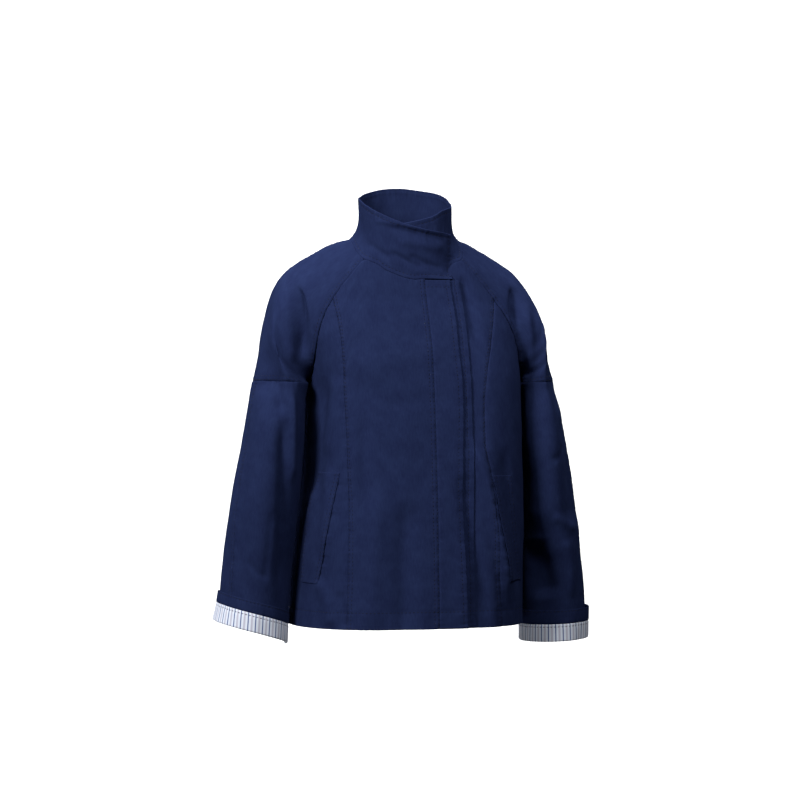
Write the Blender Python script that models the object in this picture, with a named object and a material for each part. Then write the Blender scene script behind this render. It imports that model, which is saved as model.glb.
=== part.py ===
"""Funnel-neck jacket in navy cotton, as it hangs when worn, with no wearer inside.

The jacket faces -Y and stands up along +Z. The origin is level with the base of the neck, on the
axis of the body. Tables are in millimetres and degrees, with "drop" the distance below the origin.
Side +1 is the wearer's left (+X) and side -1 the wearer's right (-X).
"""

import math

import bpy
import numpy as np

MM = 0.001

CLOTH_THICKNESS = 1.6
COLLAR_THICKNESS = 2.2
FACING_THICKNESS = 1.2
SEAM_GAP = 0.3

ARMPIT_DROP = 207.0
HEM_DROP_FRONT = 572.0
HEM_DROP_BACK = 578.0

BODY_ROWS = 17
RAGLAN_SPANS = 10
NECK_COLUMNS_RIGHT = 8
NECK_COLUMNS_LEFT = 10
NECK_COLUMNS_BACK = 9
COLLAR_FLAP_COLUMNS = 5
PLACKET_SPANS = 3
PRINCESS_SPAN = 3
SLEEVE_HALF_COLUMNS = 13
OUTER_SEAM_AHEAD = 1
LOWER_ROWS = 12
COLLAR_ROWS = 6

STRIP_LEVEL = -2.4
UNDERLAP_LEVEL = -5.2
UNDERLAP_BLEND = 10.3
UNDERLAP_EDGE = -20.0
PLACKET_TOP_DROP = 50.6
NECK_DROP = 48.0
COLLAR_FLAP_DROP = 48.6
COLLAR_LIFT = 0.35
COLLAR_FLAP_END = 57.5
COLLAR_FLARE = 4.5
STRIP_TUCK = 26.0

WELT_GAP = 1.5
WELT_THICKNESS = 1.6
WELT_ROWS = 12
WELT_COLUMNS = 4

TURN_UP_SHARE = 0.116
BAND_SHARE = 0.036
TURN_UP_CLEARANCE = 0.9
SEAM_SHARE = 0.0008
BODY_CLEARANCE = 2.6
START_CLIMB = 0.3
END_CLIMB = 0.08
NECK_SHARES = (0.0, 0.1)

# drop, half width on the wearer's right and left, front depth, back depth, squareness of the front on
# the right and on the left, and of the back
BODY_RINGS = (
    (-22, 74, 74, 50, 55, 2.4, 2.4, 2.4),
    (0, 108, 108, 66, 68, 2.4, 2.4, 2.4),
    (18, 128, 128, 75, 78, 2.5, 2.5, 2.4),
    (48, 141, 141, 88, 92, 2.7, 2.7, 2.5),
    (80, 154, 155, 98, 102, 3.0, 3.0, 2.6),
    (102, 160, 163, 108, 107, 3.1, 3.2, 2.7),
    (128, 161, 167, 118, 111, 3.2, 3.5, 2.7),
    (170, 155, 170, 131, 114, 3.1, 3.8, 2.8),
    (207, 151, 171, 140, 114, 2.9, 4.0, 2.8),
    (300, 156, 173, 152, 112, 2.7, 3.6, 2.8),
    (370, 161, 176, 158, 115, 2.6, 3.3, 2.7),
    (430, 168, 178, 163, 119, 2.6, 3.0, 2.6),
    (500, 175, 179, 167, 124, 2.5, 2.7, 2.5),
    (580, 179, 179, 169, 130, 2.5, 2.5, 2.5),
)

# angle from the front centre, drop of the neckline there
NECKLINE_FRONT = (
    (0, 50.0), (8, 48.5), (15, 45.0), (28, 36.5), (38.4, 25.5), (49.3, 18.0),
)
NECKLINE_BACK = ((130.0, -19.0), (150.0, -20.5), (180.0, -21.0))

# share of the raglan seam from the neck to the armpit, angle round the body, drop
RAGLAN_FRONT = (
    (0.0, 49.3, 18), (0.1, 53.5, 38), (0.2, 57.0, 59), (0.3, 59.3, 80), (0.4, 61.0, 104),
    (0.5, 62.8, 130), (0.6, 65.5, 154), (0.7, 69.5, 175), (0.8, 75.0, 191), (0.9, 82.0, 202),
    (1.0, 90.0, 207),
)
RAGLAN_BACK = (
    (0.0, 130.0, -19), (0.1, 129.5, 5), (0.2, 128.5, 32), (0.3, 127.0, 60), (0.4, 124.5, 88),
    (0.5, 121.5, 115), (0.6, 117.5, 141), (0.7, 112.5, 165), (0.8, 106.0, 185), (0.9, 98.5, 200),
    (1.0, 90.0, 207),
)

# drop, distance of the seam or edge from the centre plane on the front
PRINCESS_RIGHT = ((80, -126), (113, -122), (143, -119), (232, -115), (381, -113), (580, -119))
PRINCESS_LEFT = (
    (80, 126), (140, 112), (205, 98), (232, 95), (295, 94), (342, 100), (427, 108), (525, 118),
    (580, 124),
)
PLACKET_SEAM = ((18, 13), (50, 14), (153, 16), (292, 17), (580, 18))
FLAP_EDGE = ((18, 53), (50, 53), (84, 55), (150, 57), (222, 60), (359, 57), (491, 59), (580, 62))
STRIP_EDGE = ((18, 58), (50, 69), (93, 72), (131, 73), (213, 74), (425, 75), (580, 76))

# share of the shoulder and over-arm line from the neck to the arm seam, x on the right and on the
# left, y, z
OVER_ARM = (
    (0.0, 87, 86, -8, 15), (0.08, 103, 101, 5, 11.5), (0.17, 123, 121, 17, 3),
    (0.25, 141, 142, 25, -7.5), (0.33, 159, 161, 29, -18), (0.42, 176, 178, 29, -30),
    (0.5, 190, 187, 24, -44), (0.58, 200, 191, 18, -61), (0.67, 207, 191, 12, -82),
    (0.75, 213, 193, 8, -106), (0.83, 220, 202, 5, -135), (0.92, 227, 220, 0, -168),
    (1.0, 235, 234, -4, -203),
)

# share down the upper sleeve, turn of the cloth out of the body's surface at the front seam on the
# right and on the left, reach of the curve from that seam and from the over-arm line, then the
# turn and the two reaches at the back
UPPER_CURVES = (
    (0.0, -50, -50, 25, 25, -25, 18, 18),
    (0.1, -28, -28, 28, 30, -12, 24, 22),
    (0.2, -10, -10, 34, 36, 0, 30, 26),
    (0.3, 8, 8, 40, 43, 10, 38, 32),
    (0.4, 22, 24, 48, 52, 22, 46, 40),
    (0.5, 38, 46, 58, 62, 38, 55, 50),
    (0.6, 58, 76, 70, 73, 58, 66, 61),
    (0.7, 84, 110, 82, 84, 84, 76, 72),
    (0.8, 115, 136, 92, 93, 115, 85, 82),
    (0.9, 148, 156, 101, 101, 148, 92, 90),
    (1.0, 180, 180, 107, 107, 180, 96, 96),
)

# share down the lower sleeve, inner and outer x on the right, inner and outer x on the left,
# centre y, reach of the front and of the back
LOWER_CURVES = (
    (0.0, 151, 235, 171, 234, -2, 107, 96),
    (0.08, 159, 242, 174.5, 240, -8, 112, 93),
    (0.24, 162.5, 253.5, 178, 253, -17, 110, 90),
    (0.41, 167.5, 266, 180, 263.5, -20, 103, 86),
    (0.58, 174, 276.5, 183, 273, -17, 96, 82),
    (0.75, 180, 282.5, 186, 281, -12, 90, 79),
    (0.88, 184, 286.5, 188, 286, -9, 86, 77),
    (1.0, 186, 289.5, 188, 290.5, -7, 85, 77),
)
ARM_SEAM_TILT = 2.0

# share down the lower sleeve, how far round its front the outer seam lies, from 0 inside to 1 outside
OUTER_SEAM = ((0.0, 0.923), (0.3, 0.9), (0.6, 0.85), (0.85, 0.8), (1.0, 0.79))

# side, drop of the sleeve's end, rise of its outer edge, how far the turn-up stands off outside
SLEEVE_ENDS = ((-1, 580.0, 10.5, 1.0), (1, 598.0, 3.0, 5.0))

# turn round the neck from the front over the wearer's right, height of the collar's top edge, how far
# the edge is drawn in
COLLAR_TOP = (
    (-44, 19, 0), (-20, 24, 0), (0, 29, 0), (25, 39, 0), (45, 50, 0), (65, 62, 0), (90, 74, 0),
    (110, 80, 0), (135, 90, 0), (160, 96.5, 0), (180, 98, 0), (225, 92, 0), (250, 83, 2),
    (270, 73, 4), (285, 66, 4), (300, 61, 2), (318, 56, 0), (335, 46, 0), (350, 41, 0), (375, 35, 0),
)
COLLAR_CENTRE_Y = -20.0
COLLAR_TOP_HALF_WIDTH = 73.0
COLLAR_TOP_FRONT = 67.0
COLLAR_TOP_BACK = 60.0
COLLAR_SQUARENESS = 2.4

# how far the folded lip of the turn-up lies in from the facing's face, and below the sleeve's end
FOLD_LIP = ((0.5, 1.6), (3.2, 2.2))

# face, three points of the fold's line (x, drop), its half width and its rise, less than 0 for a trough
BODY_FOLDS = (
    ("front", -124, 195, -133, 250, -146, 310, 9, 2.5),
    ("front", -146, 195, -149, 290, -160, 380, 13, -10.0),
    ("front", 76, 290, 105, 407, 149, 555, 12, 4.0),
    ("front", 62, 380, 78, 470, 96, 560, 15, -2.5),
    ("front", 128, 330, 137, 440, 158, 530, 10, -3.0),
    ("front", -40, 420, -41, 480, -38, 560, 16, -2.0),
    ("front", -75, 330, -84, 450, -92, 560, 18, 2.0),
    ("front", -150, 500, -140, 535, -136, 572, 10, 2.0),
    ("back", -60, 120, -78, 300, -96, 560, 18, 4.0),
    ("back", -22, 200, -34, 380, -40, 570, 20, -3.5),
    ("back", 66, 150, 74, 330, 84, 560, 18, 4.5),
    ("back", 20, 260, 24, 420, 32, 570, 18, -3.0),
    ("back", -118, 190, -132, 340, -140, 540, 13, -3.5),
    ("back", 116, 180, 128, 320, 144, 540, 13, -3.0),
)

# side, face, three points of the fold's line (distance out, drop), half width, rise
SLEEVE_FOLDS = (
    (-1, "front", 168, 45, 171, 110, 168, 185, 12, -13.0),
    (-1, "front", 190, 60, 189, 130, 192, 215, 12, 4.0),
    (-1, "front", 220, 115, 216, 200, 205, 290, 9, -7.0),
    (-1, "front", 205, 285, 201, 400, 197, 545, 12, -4.0),
    (-1, "front", 230, 250, 226, 400, 222, 540, 18, 3.0),
    (-1, "front", 186, 260, 187, 330, 188, 400, 7, 3.0),
    (-1, "back", 175, 70, 182, 140, 185, 220, 14, -9.0),
    (-1, "back", 215, 130, 209, 240, 203, 400, 13, -5.0),
    (-1, "back", 238, 300, 232, 420, 236, 540, 16, 3.5),
    (1, "front", 182, 48, 172, 105, 163, 160, 12, -11.0),
    (1, "front", 178, 150, 175, 190, 177, 245, 8, -6.0),
    (1, "front", 189, 110, 191, 210, 198, 390, 9, 5.0),
    (1, "front", 216, 110, 214, 220, 216, 330, 14, -5.0),
    (1, "front", 238, 427, 250, 434, 264, 444, 6, -2.5),
    (1, "front", 199, 465, 199, 505, 203, 545, 13, -4.0),
    (1, "front", 232, 300, 234, 400, 236, 540, 14, 3.0),
    (1, "back", 178, 60, 180, 130, 182, 210, 14, -9.0),
    (1, "back", 222, 120, 216, 250, 212, 380, 13, -5.0),
    (1, "back", 240, 330, 236, 440, 240, 560, 16, 3.5),
)

# side, drop, x of the mouth edge and of the sewn edge
POCKET_WELTS = (
    (-1, (341, -123, -151), (400, -133, -160), (450, -142, -166), (507, -154, -171)),
    (1, (346, 103, 138), (400, 110, 145), (450, 118, 152), (505, 128, 161)),
)

NAVY = (0.018, 0.030, 0.090, 1.0)
STRIPED = (0.60, 0.62, 0.66, 1.0)


def smooth_lookup(table, column, at):
    """A column of the table read at any place along it, as a smooth curve that never overshoots."""
    knots = np.array([row[0] for row in table], float)
    values = np.array([row[column] for row in table], float)
    spans = np.diff(knots)
    slopes = np.diff(values) / spans
    tangents = np.concatenate([slopes[:1], np.zeros(len(knots) - 2), slopes[-1:]])
    before, after = slopes[:-1], slopes[1:]
    same_way = before * after > 0
    safe_sum = np.where(same_way, before + after, 1.0)
    tangents[1:-1] = np.where(same_way, 2 * before * after / safe_sum, 0.0)
    at = np.clip(np.asarray(at, float), knots[0], knots[-1])
    index = np.clip(np.searchsorted(knots, at, side="right") - 1, 0, len(spans) - 1)
    span = spans[index]
    t = (at - knots[index]) / span
    start = (2 * t**3 - 3 * t**2 + 1) * values[index] + (t**3 - 2 * t**2 + t) * span * tangents[index]
    end = (3 * t**2 - 2 * t**3) * values[index + 1] + (t**3 - t**2) * span * tangents[index + 1]
    return start + end


def smooth_step(value):
    """0 below 0, 1 above 1, and a soft slope between them."""
    value = np.clip(value, 0.0, 1.0)
    return value * value * (3 - 2 * value)


def fold_rise(line, half_width, rise, across, drop):
    """How far one fold lifts the cloth at these places, seen square on to its face."""
    points = np.array(line, float).reshape(3, 2)
    nearest = np.full(np.shape(across), 1e9)
    along = np.zeros(np.shape(across))
    for index in range(2):
        start, end = points[index], points[index + 1]
        run = end - start
        t = ((across - start[0]) * run[0] + (drop - start[1]) * run[1]) / float(run @ run)
        t = np.clip(t, 0.0, 1.0)
        away = np.hypot(across - start[0] - t * run[0], drop - start[1] - t * run[1])
        closer = away < nearest
        nearest = np.where(closer, away, nearest)
        along = np.where(closer, (index + t) / 2, along)
    ends = smooth_step(np.minimum(along, 1 - along) / 0.22 + 0.12)
    return rise * ends * np.exp(-((nearest / half_width) ** 2))


def face_weight(face, normal_y):
    """1 where the cloth looks towards this face of the jacket, and 0 where it looks away."""
    towards = -normal_y if face == "front" else normal_y
    return smooth_step(towards * 2.2)


def body_ring(drop, on_left, in_front):
    """Half width, depth and squareness of the body at each drop, for this quarter of its ring."""
    right, left, front, back, front_right, front_left, round_back = [
        smooth_lookup(BODY_RINGS, column, drop) for column in range(1, 8)
    ]
    half = np.where(on_left, left, right)
    depth = np.where(in_front, front, back)
    power = np.where(in_front, np.where(on_left, front_left, front_right), round_back)
    return half, depth, power


def underlap_level(angle, drop):
    """How far the left front lies in beneath the placket, and blends out beyond the strip."""
    strip = angle_at(smooth_lookup(STRIP_EDGE, 1, drop), drop)
    beyond = (np.degrees(angle) - np.degrees(strip)) / UNDERLAP_BLEND
    return UNDERLAP_LEVEL * (1 - smooth_step(beyond))


def body_point(angle, drop, level=0.0):
    """A point of the body's surface at this angle from the front centre, moved out by the level."""
    angle, drop = np.broadcast_arrays(np.asarray(angle, float), np.asarray(drop, float))
    half, depth, power = body_ring(drop, np.sin(angle) >= 0, np.cos(angle) >= 0)
    wide = np.abs(np.sin(angle)) / half
    deep = np.abs(np.cos(angle)) / depth
    radius = (wide**power + deep**power) ** (-1 / power)
    x = radius * np.sin(angle)
    y = -radius * np.cos(angle)
    normal_x = np.sign(x) * (np.abs(x) / half) ** (power - 1) / half
    normal_y = np.sign(y) * (np.abs(y) / depth) ** (power - 1) / depth
    length = np.hypot(normal_x, normal_y)
    normal_x, normal_y = normal_x / length, normal_y / length
    rise = np.zeros(np.shape(x)) + level
    for face, *line, half_width, height in BODY_FOLDS:
        rise += fold_rise(line, half_width, height, x, drop) * face_weight(face, normal_y)
    return np.stack([x + normal_x * rise, y + normal_y * rise, -drop], axis=-1)


def angle_at(x, drop):
    """The angle round the body where its front is this far from the centre plane."""
    half, front, power = body_ring(drop, np.asarray(x) >= 0, True)
    share = np.clip(np.abs(x) / half, 0.0, 0.999)
    depth = front * (1 - share**power) ** (1 / power)
    return np.arctan2(x, depth)


def seam_on_front(table, top_drop, rows):
    """Angle and drop of a front seam from its top to the hem, one pair for each row."""
    drop = np.linspace(top_drop, HEM_DROP_FRONT, rows + 1)
    angle = angle_at(smooth_lookup(table, 1, drop), drop)
    drop = np.linspace(top_drop, hem_drop(angle[-1]), rows + 1)
    return np.stack([angle_at(smooth_lookup(table, 1, drop), drop), drop], axis=-1)


def hem_drop(angle):
    """The hem's drop at this angle round the body."""
    return HEM_DROP_FRONT + (HEM_DROP_BACK - HEM_DROP_FRONT) * (1 - np.cos(angle)) / 2


def neckline(angles):
    """Angle and drop of the neckline at these angles in degrees."""
    angles = np.asarray(angles, float)
    size = np.minimum(np.abs(angles), 360 - np.abs(angles))
    front = smooth_lookup(NECKLINE_FRONT, 1, size)
    back = smooth_lookup(NECKLINE_BACK, 1, size)
    return np.stack([np.radians(angles), np.where(size < 90, front, back)], axis=-1)


def raglan(table, side, shares):
    """Angle and drop of the raglan seam at these shares of its length."""
    angle = np.radians(smooth_lookup(table, 1, shares)) * side
    return np.stack([angle, smooth_lookup(table, 2, shares)], axis=-1)


def between_edges(top, hem, first_seam, last_seam):
    """Angle and drop over a panel from its four edges, rows downwards and columns across."""
    rows, columns = len(first_seam), len(top)
    t = np.linspace(0, 1, rows)[:, None, None]
    s = np.linspace(0, 1, columns)[None, :, None]
    ruled = (1 - t) * top[None] + t * hem[None]
    corner_first = (1 - t) * first_seam[:1][:, None] + t * first_seam[-1:][:, None]
    corner_last = (1 - t) * last_seam[:1][:, None] + t * last_seam[-1:][:, None]
    bulge_first = first_seam[:, None] - corner_first
    bulge_last = last_seam[:, None] - corner_last
    return ruled + (1 - s) * bulge_first + s * bulge_last


def hem_between(first, last, columns):
    """Angle and drop along the hem between two angles."""
    angle = np.linspace(first, last, columns)
    return np.stack([angle, hem_drop(angle)], axis=-1)


def side_seam(side):
    """Angle and drop of the side seam, from the armpit to the hem."""
    angle = np.full(BODY_ROWS + 1, side * math.pi / 2)
    drop = np.linspace(ARMPIT_DROP, hem_drop(math.pi / 2), BODY_ROWS + 1)
    return np.stack([angle, drop], axis=-1)


def raglan_shares():
    """The shares of the raglan seam at which the body and the sleeve share their points."""
    return np.linspace(0, 1, RAGLAN_SPANS + 1)


def front_centre_right():
    """Grid of angle and drop from the right princess seam to the placket seam."""
    shares = raglan_shares()[: PRINCESS_SPAN + 1]
    up_the_raglan = raglan(RAGLAN_FRONT, -1, shares)[::-1]
    placket_angle = math.degrees(angle_at(smooth_lookup(PLACKET_SEAM, 1, NECK_DROP), NECK_DROP))
    along_the_neck = neckline(np.linspace(-RAGLAN_FRONT[0][1], placket_angle, NECK_COLUMNS_RIGHT))
    top = np.concatenate([up_the_raglan, along_the_neck[1:]])
    princess = seam_on_front(PRINCESS_RIGHT, RAGLAN_FRONT[PRINCESS_SPAN][2], BODY_ROWS)
    princess[0] = top[0]
    placket = seam_on_front(PLACKET_SEAM, top[-1, 1], BODY_ROWS)
    placket[0] = top[-1]
    hem = hem_between(princess[-1, 0], placket[-1, 0], len(top))
    return between_edges(top, hem, princess, placket)


def front_centre_left():
    """Grid of angle and drop from the edge tucked under the placket to the left princess seam."""
    shares = raglan_shares()[: PRINCESS_SPAN + 1]
    down_the_raglan = raglan(RAGLAN_FRONT, 1, shares)
    edge_angle = math.degrees(angle_at(UNDERLAP_EDGE, NECK_DROP))
    along_the_neck = neckline(np.linspace(edge_angle, RAGLAN_FRONT[0][1], NECK_COLUMNS_LEFT))
    top = np.concatenate([along_the_neck[:-1], down_the_raglan])
    edge = seam_on_front(((18, UNDERLAP_EDGE), (580, UNDERLAP_EDGE)), top[0, 1], BODY_ROWS)
    edge[0] = top[0]
    princess = seam_on_front(PRINCESS_LEFT, RAGLAN_FRONT[PRINCESS_SPAN][2], BODY_ROWS)
    princess[0] = top[-1]
    hem = hem_between(edge[-1, 0], princess[-1, 0], len(top))
    return between_edges(top, hem, edge, princess)


def front_side(side):
    """Grid of angle and drop from a princess seam to the side seam."""
    table = PRINCESS_LEFT if side > 0 else PRINCESS_RIGHT
    top = raglan(RAGLAN_FRONT, side, raglan_shares()[PRINCESS_SPAN:])
    princess = seam_on_front(table, RAGLAN_FRONT[PRINCESS_SPAN][2], BODY_ROWS)
    princess[0] = top[0]
    hem = hem_between(princess[-1, 0], side * math.pi / 2, len(top))
    return between_edges(top, hem, princess, side_seam(side))


def back_panel():
    """Grid of angle and drop over the back, from the left side seam to the right one."""
    shares = raglan_shares()
    up_left = raglan(RAGLAN_BACK, 1, shares)[::-1]
    across = neckline(np.linspace(RAGLAN_BACK[0][1], 360 - RAGLAN_BACK[0][1], NECK_COLUMNS_BACK))
    down_right = raglan(RAGLAN_BACK, 1, shares)
    down_right[:, 0] = 2 * math.pi - down_right[:, 0]
    top = np.concatenate([up_left[:-1], across, down_right[1:]])
    last = side_seam(1)
    last[:, 0] = 2 * math.pi - last[:, 0]
    hem = hem_between(math.pi / 2, 2 * math.pi - math.pi / 2, len(top))
    return between_edges(top, hem, side_seam(1), last)


def outward_normals(points, down_step, across_step):
    """Unit normals of a grid of points from its steps down and across."""
    normals = np.cross(down_step, across_step)
    return normals / np.maximum(np.linalg.norm(normals, axis=-1, keepdims=True), 1e-9)


def no_level(angle, drop):
    """The level of cloth that lies in the body's own surface."""
    return np.zeros(np.broadcast_shapes(np.shape(angle), np.shape(drop)))


def strip_level(angle, drop):
    """The level of the strip beneath the fly."""
    return no_level(angle, drop) + STRIP_LEVEL


def body_surface(grid, level_of=no_level):
    """Points and normals over a grid of angle and drop."""
    angle, drop = grid[..., 0], grid[..., 1]
    turn, down = 0.004, 0.5

    def at(turned, lowered):
        return body_point(angle + turned, drop + lowered, level_of(angle + turned, drop + lowered))

    normals = outward_normals(grid, at(0, down) - at(0, -down), at(turn, 0) - at(-turn, 0))
    return at(0, 0), normals


def strip_on_front(first_table, last_table, top_drop, columns):
    """Grid of angle and drop between two edges of the front."""
    first = seam_on_front(first_table, top_drop, BODY_ROWS)
    last = seam_on_front(last_table, top_drop, BODY_ROWS)
    s = np.linspace(0, 1, columns + 1)[None, :, None]
    return first[:, None] * (1 - s) + last[:, None] * s


def on_panel(grid, points, angle, drop):
    """The place on a panel's own faces that has this angle and drop."""
    target = np.array([angle * BODY_RINGS[-1][1], drop])
    flat = grid * np.array([BODY_RINGS[-1][1], 1.0])
    best, found = -1e9, points[0, 0]
    for row in range(grid.shape[0] - 1):
        for column in range(grid.shape[1] - 1):
            near, below, across = (row, column), (row + 1, column), (row, column + 1)
            opposite = (row + 1, column + 1)
            for a, b, c in ((near, below, opposite), (near, opposite, across)):
                edges = np.stack([flat[b] - flat[a], flat[c] - flat[a]], axis=-1)
                if abs(np.linalg.det(edges)) < 1e-9:
                    continue
                u, v = np.linalg.solve(edges, target - flat[a])
                inside = min(u, v, 1 - u - v)
                if inside > best:
                    best = inside
                    found = points[a] * (1 - u - v) + points[b] * u + points[c] * v
    return found


def quarter_curve(start, start_reach, end_reach, end, t):
    """A cubic curve from start to end, leaving and arriving along the two reaches."""
    t = t[..., None]
    first = (1 - t) ** 3 * start + 3 * (1 - t) ** 2 * t * (start + start_reach)
    return first + 3 * (1 - t) * t**2 * (end + end_reach) + t**3 * end


def raglan_frame(table, share, side):
    """A raglan seam's point, mirrored to the left, and the body's directions out and round there."""
    angle, drop = raglan(table, side, np.array([share]))[0]
    mirror = np.array([side, 1.0, 1.0])
    step = 0.002 * side
    ahead = (body_point(angle + step, drop) - body_point(angle - step, drop)) * mirror
    around = ahead[:2] / np.linalg.norm(ahead[:2])
    outward = np.array([around[1], -around[0]])
    return body_point(angle, drop) * mirror, outward, around


def upper_row(share, t, side):
    """One row round the upper sleeve, mirrored to the left, from the front seam to the back one."""
    line = [2 if side > 0 else 1, 3, 4]
    over = np.array([float(smooth_lookup(OVER_ARM, column, share)) for column in line])
    front_turn = 2 if side > 0 else 1
    curves = [smooth_lookup(UPPER_CURVES, column, share) for column in (front_turn, *range(3, 8))]
    halves = []
    for table, sign, (turn, reach, top_reach) in (
        (RAGLAN_FRONT, 1, curves[:3]),
        (RAGLAN_BACK, -1, curves[3:]),
    ):
        seam, outward, around = raglan_frame(table, share, side)
        turn = math.radians(turn)
        away = math.cos(turn) * sign * around + math.sin(turn) * outward
        climb = over[2] - seam[2]
        start_reach = np.array([away[0] * reach, away[1] * reach, climb * START_CLIMB])
        end_reach = np.array([0.0, -sign * top_reach, -climb * END_CLIMB])
        halves.append(quarter_curve(seam, start_reach, end_reach, over, t))
    return np.concatenate([halves[0], halves[1][::-1][1:]])


def lower_row(share, t, side):
    """One row round the lower sleeve, mirrored to the left, from the inner line and back to it."""
    _, end_drop, end_tilt, _ = next(row for row in SLEEVE_ENDS if row[0] == side)
    columns = [3, 4, 5, 6, 7] if side > 0 else [1, 2, 5, 6, 7]
    inner, outer, centre, front, back = [
        float(smooth_lookup(LOWER_CURVES, column, share)) for column in columns
    ]
    start_drop = (ARMPIT_DROP - OVER_ARM[-1][4]) / 2
    drop = start_drop + (end_drop - start_drop) * share
    tilt = ARM_SEAM_TILT + (end_tilt - ARM_SEAM_TILT) * smooth_step(share * 1.15 - 0.15)
    blend = min(share / LOWER_CURVES[1][0], 1.0)
    seam = np.array([inner, centre * blend, -drop - tilt])
    over = np.array([outer, OVER_ARM[-1][3] * (1 - blend) + centre * blend, -drop + tilt])
    climb = over[2] - seam[2]
    even_place = 1 - OUTER_SEAM_AHEAD / SLEEVE_HALF_COLUMNS
    seam_place = float(smooth_lookup(OUTER_SEAM, 1, share))
    to_the_seam = np.interp(t, [0.0, even_place, 1.0], [0.0, seam_place, 1.0])
    halves = []
    for sign, reach, places in ((-1, front, to_the_seam), (1, back, t)):
        start_reach = np.array([0.0, sign * reach, climb * START_CLIMB])
        end_reach = np.array([0.0, sign * reach, -climb * END_CLIMB])
        halves.append(quarter_curve(seam, start_reach, end_reach, over, places))
    return np.concatenate([halves[0], halves[1][::-1][1:]])


def clear_of_body(points, side, clearance):
    """Sleeve points below the armpit moved out until they clear the side of the body."""
    drop = -points[..., 2]
    half, depth, power = body_ring(drop, side > 0, points[..., 1] < 0)
    share = np.clip(np.abs(points[..., 1]) / depth, 0.0, 0.98)
    side_x = half * (1 - share**power) ** (1 / power) + clearance
    below = smooth_step((drop - ARMPIT_DROP) / 12.0)
    short = np.maximum(side_x - points[..., 0], 0.0) * below
    return points + short[..., None] * np.array([1.0, 0.0, 0.0])


def sleeve_surface(side, shares, level=0.0, stand_off=0.0):
    """Points and normals of a sleeve: shares 0 to 1 run down its upper part, and 1 to 2 its lower."""
    t = np.linspace(0, 1, SLEEVE_HALF_COLUMNS + 1)
    rows = [
        upper_row(share, t, side) if share <= 1 else lower_row(share - 1, t, side)
        for share in map(float, shares)
    ]
    points = np.array(rows)
    across = step_round(points)
    level_out = np.stack([across[..., 1], -across[..., 0], 0 * across[..., 0]], axis=-1)
    level_out /= np.maximum(np.linalg.norm(level_out, axis=-1, keepdims=True), 1e-9)
    rise = np.zeros(points.shape[:2])
    for fold_side, face, *line, half_width, height in SLEEVE_FOLDS:
        if fold_side == side:
            lift = fold_rise(line, half_width, height, points[..., 0], -points[..., 2])
            rise += lift * face_weight(face, level_out[..., 1])
    around = np.linspace(0, 1, points.shape[1])
    rise *= smooth_step(np.minimum(around, 1 - around) / 0.07)
    outside = smooth_step(1 - np.abs(around - 0.5) / 0.3)
    up_from_end = np.clip((2 - np.asarray(shares, float)[:, None]) / TURN_UP_SHARE, 0.0, 1.0)
    rise += level + stand_off * outside * up_from_end
    points = points + level_out * rise[..., None]
    points = clear_of_body(points, side, BODY_CLEARANCE - level)
    normals = outward_normals(points, np.gradient(points, axis=0), step_round(points))
    mirror = np.array([side, 1.0, 1.0])
    return points * mirror, normals * mirror


def step_round(points):
    """The step across each point of rows that may close on themselves."""
    step = np.gradient(points, axis=1)
    closes = np.linalg.norm(points[:, 0] - points[:, -1], axis=-1) < 1e-6
    round_the_join = (points[:, 1] - points[:, -2]) / 2
    step[closes, 0] = round_the_join[closes]
    step[closes, -1] = round_the_join[closes]
    return step


def sleeve_shares():
    """The shares down a sleeve: the upper part's rows, and then the lower part's."""
    return np.concatenate([raglan_shares(), 1 + np.linspace(0, 1, LOWER_ROWS + 1)[1:]])


def whole_sleeve(side):
    """Points and normals of a sleeve, whose normals join the body's along the raglan seam."""
    shares = sleeve_shares()
    points, normals = sleeve_surface(side, shares)
    upper = raglan_shares()
    for table, column in ((RAGLAN_FRONT, 0), (RAGLAN_BACK, -1)):
        _, body_normals = body_surface(raglan(table, side, upper))
        own = smooth_step((upper - 0.3) / 0.25)[:, None]
        mixed = body_normals * (1 - own) + normals[: len(upper), column] * own
        normals[: len(upper), column] = mixed / np.linalg.norm(mixed, axis=-1, keepdims=True)
    return points, normals


def drawn_in(points, edges):
    """The grid with the named edges moved in by half a seam's gap."""
    points = points.copy()
    moves = {
        "top": (np.s_[0], np.s_[1]),
        "bottom": (np.s_[-1], np.s_[-2]),
        "first": (np.s_[:, 0], np.s_[:, 1]),
        "last": (np.s_[:, -1], np.s_[:, -2]),
    }
    for edge in edges:
        outer, inner = moves[edge]
        step = points[inner] - points[outer]
        length = np.maximum(np.linalg.norm(step, axis=-1, keepdims=True), 1e-9)
        points[outer] = points[outer] + step / length * (SEAM_GAP / 2)
    return points


def cloth_material(name, colour, roughness):
    """A plain cloth finish."""
    material = bpy.data.materials.new(name)
    material.use_nodes = True
    shader = material.node_tree.nodes["Principled BSDF"]
    shader.inputs["Base Color"].default_value = colour
    shader.inputs["Roughness"].default_value = roughness
    shader.inputs["Metallic"].default_value = 0.0
    return material


def wall_faces(rows, columns, closed):
    """Faces of a cloth wall: its outer grid, its inner one and the rims that join them."""
    count = rows * columns

    def at(row, column, layer):
        return layer * count + row * columns + column % columns

    faces = []
    spans = columns if closed else columns - 1
    for row in range(rows - 1):
        for column in range(spans):
            ring = [(row, column), (row + 1, column), (row + 1, column + 1), (row, column + 1)]
            faces.append([at(r, c, 0) for r, c in ring])
            faces.append([at(r, c, 1) for r, c in reversed(ring)])
    for column in range(spans):
        for row, (a, b) in ((0, (column, column + 1)), (rows - 1, (column + 1, column))):
            faces.append([at(row, a, 0), at(row, b, 0), at(row, b, 1), at(row, a, 1)])
    if not closed:
        for row in range(rows - 1):
            for column, (a, b) in ((0, (row + 1, row)), (columns - 1, (row, row + 1))):
                faces.append([at(a, column, 0), at(b, column, 0), at(b, column, 1), at(a, column, 1)])
    return faces


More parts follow.
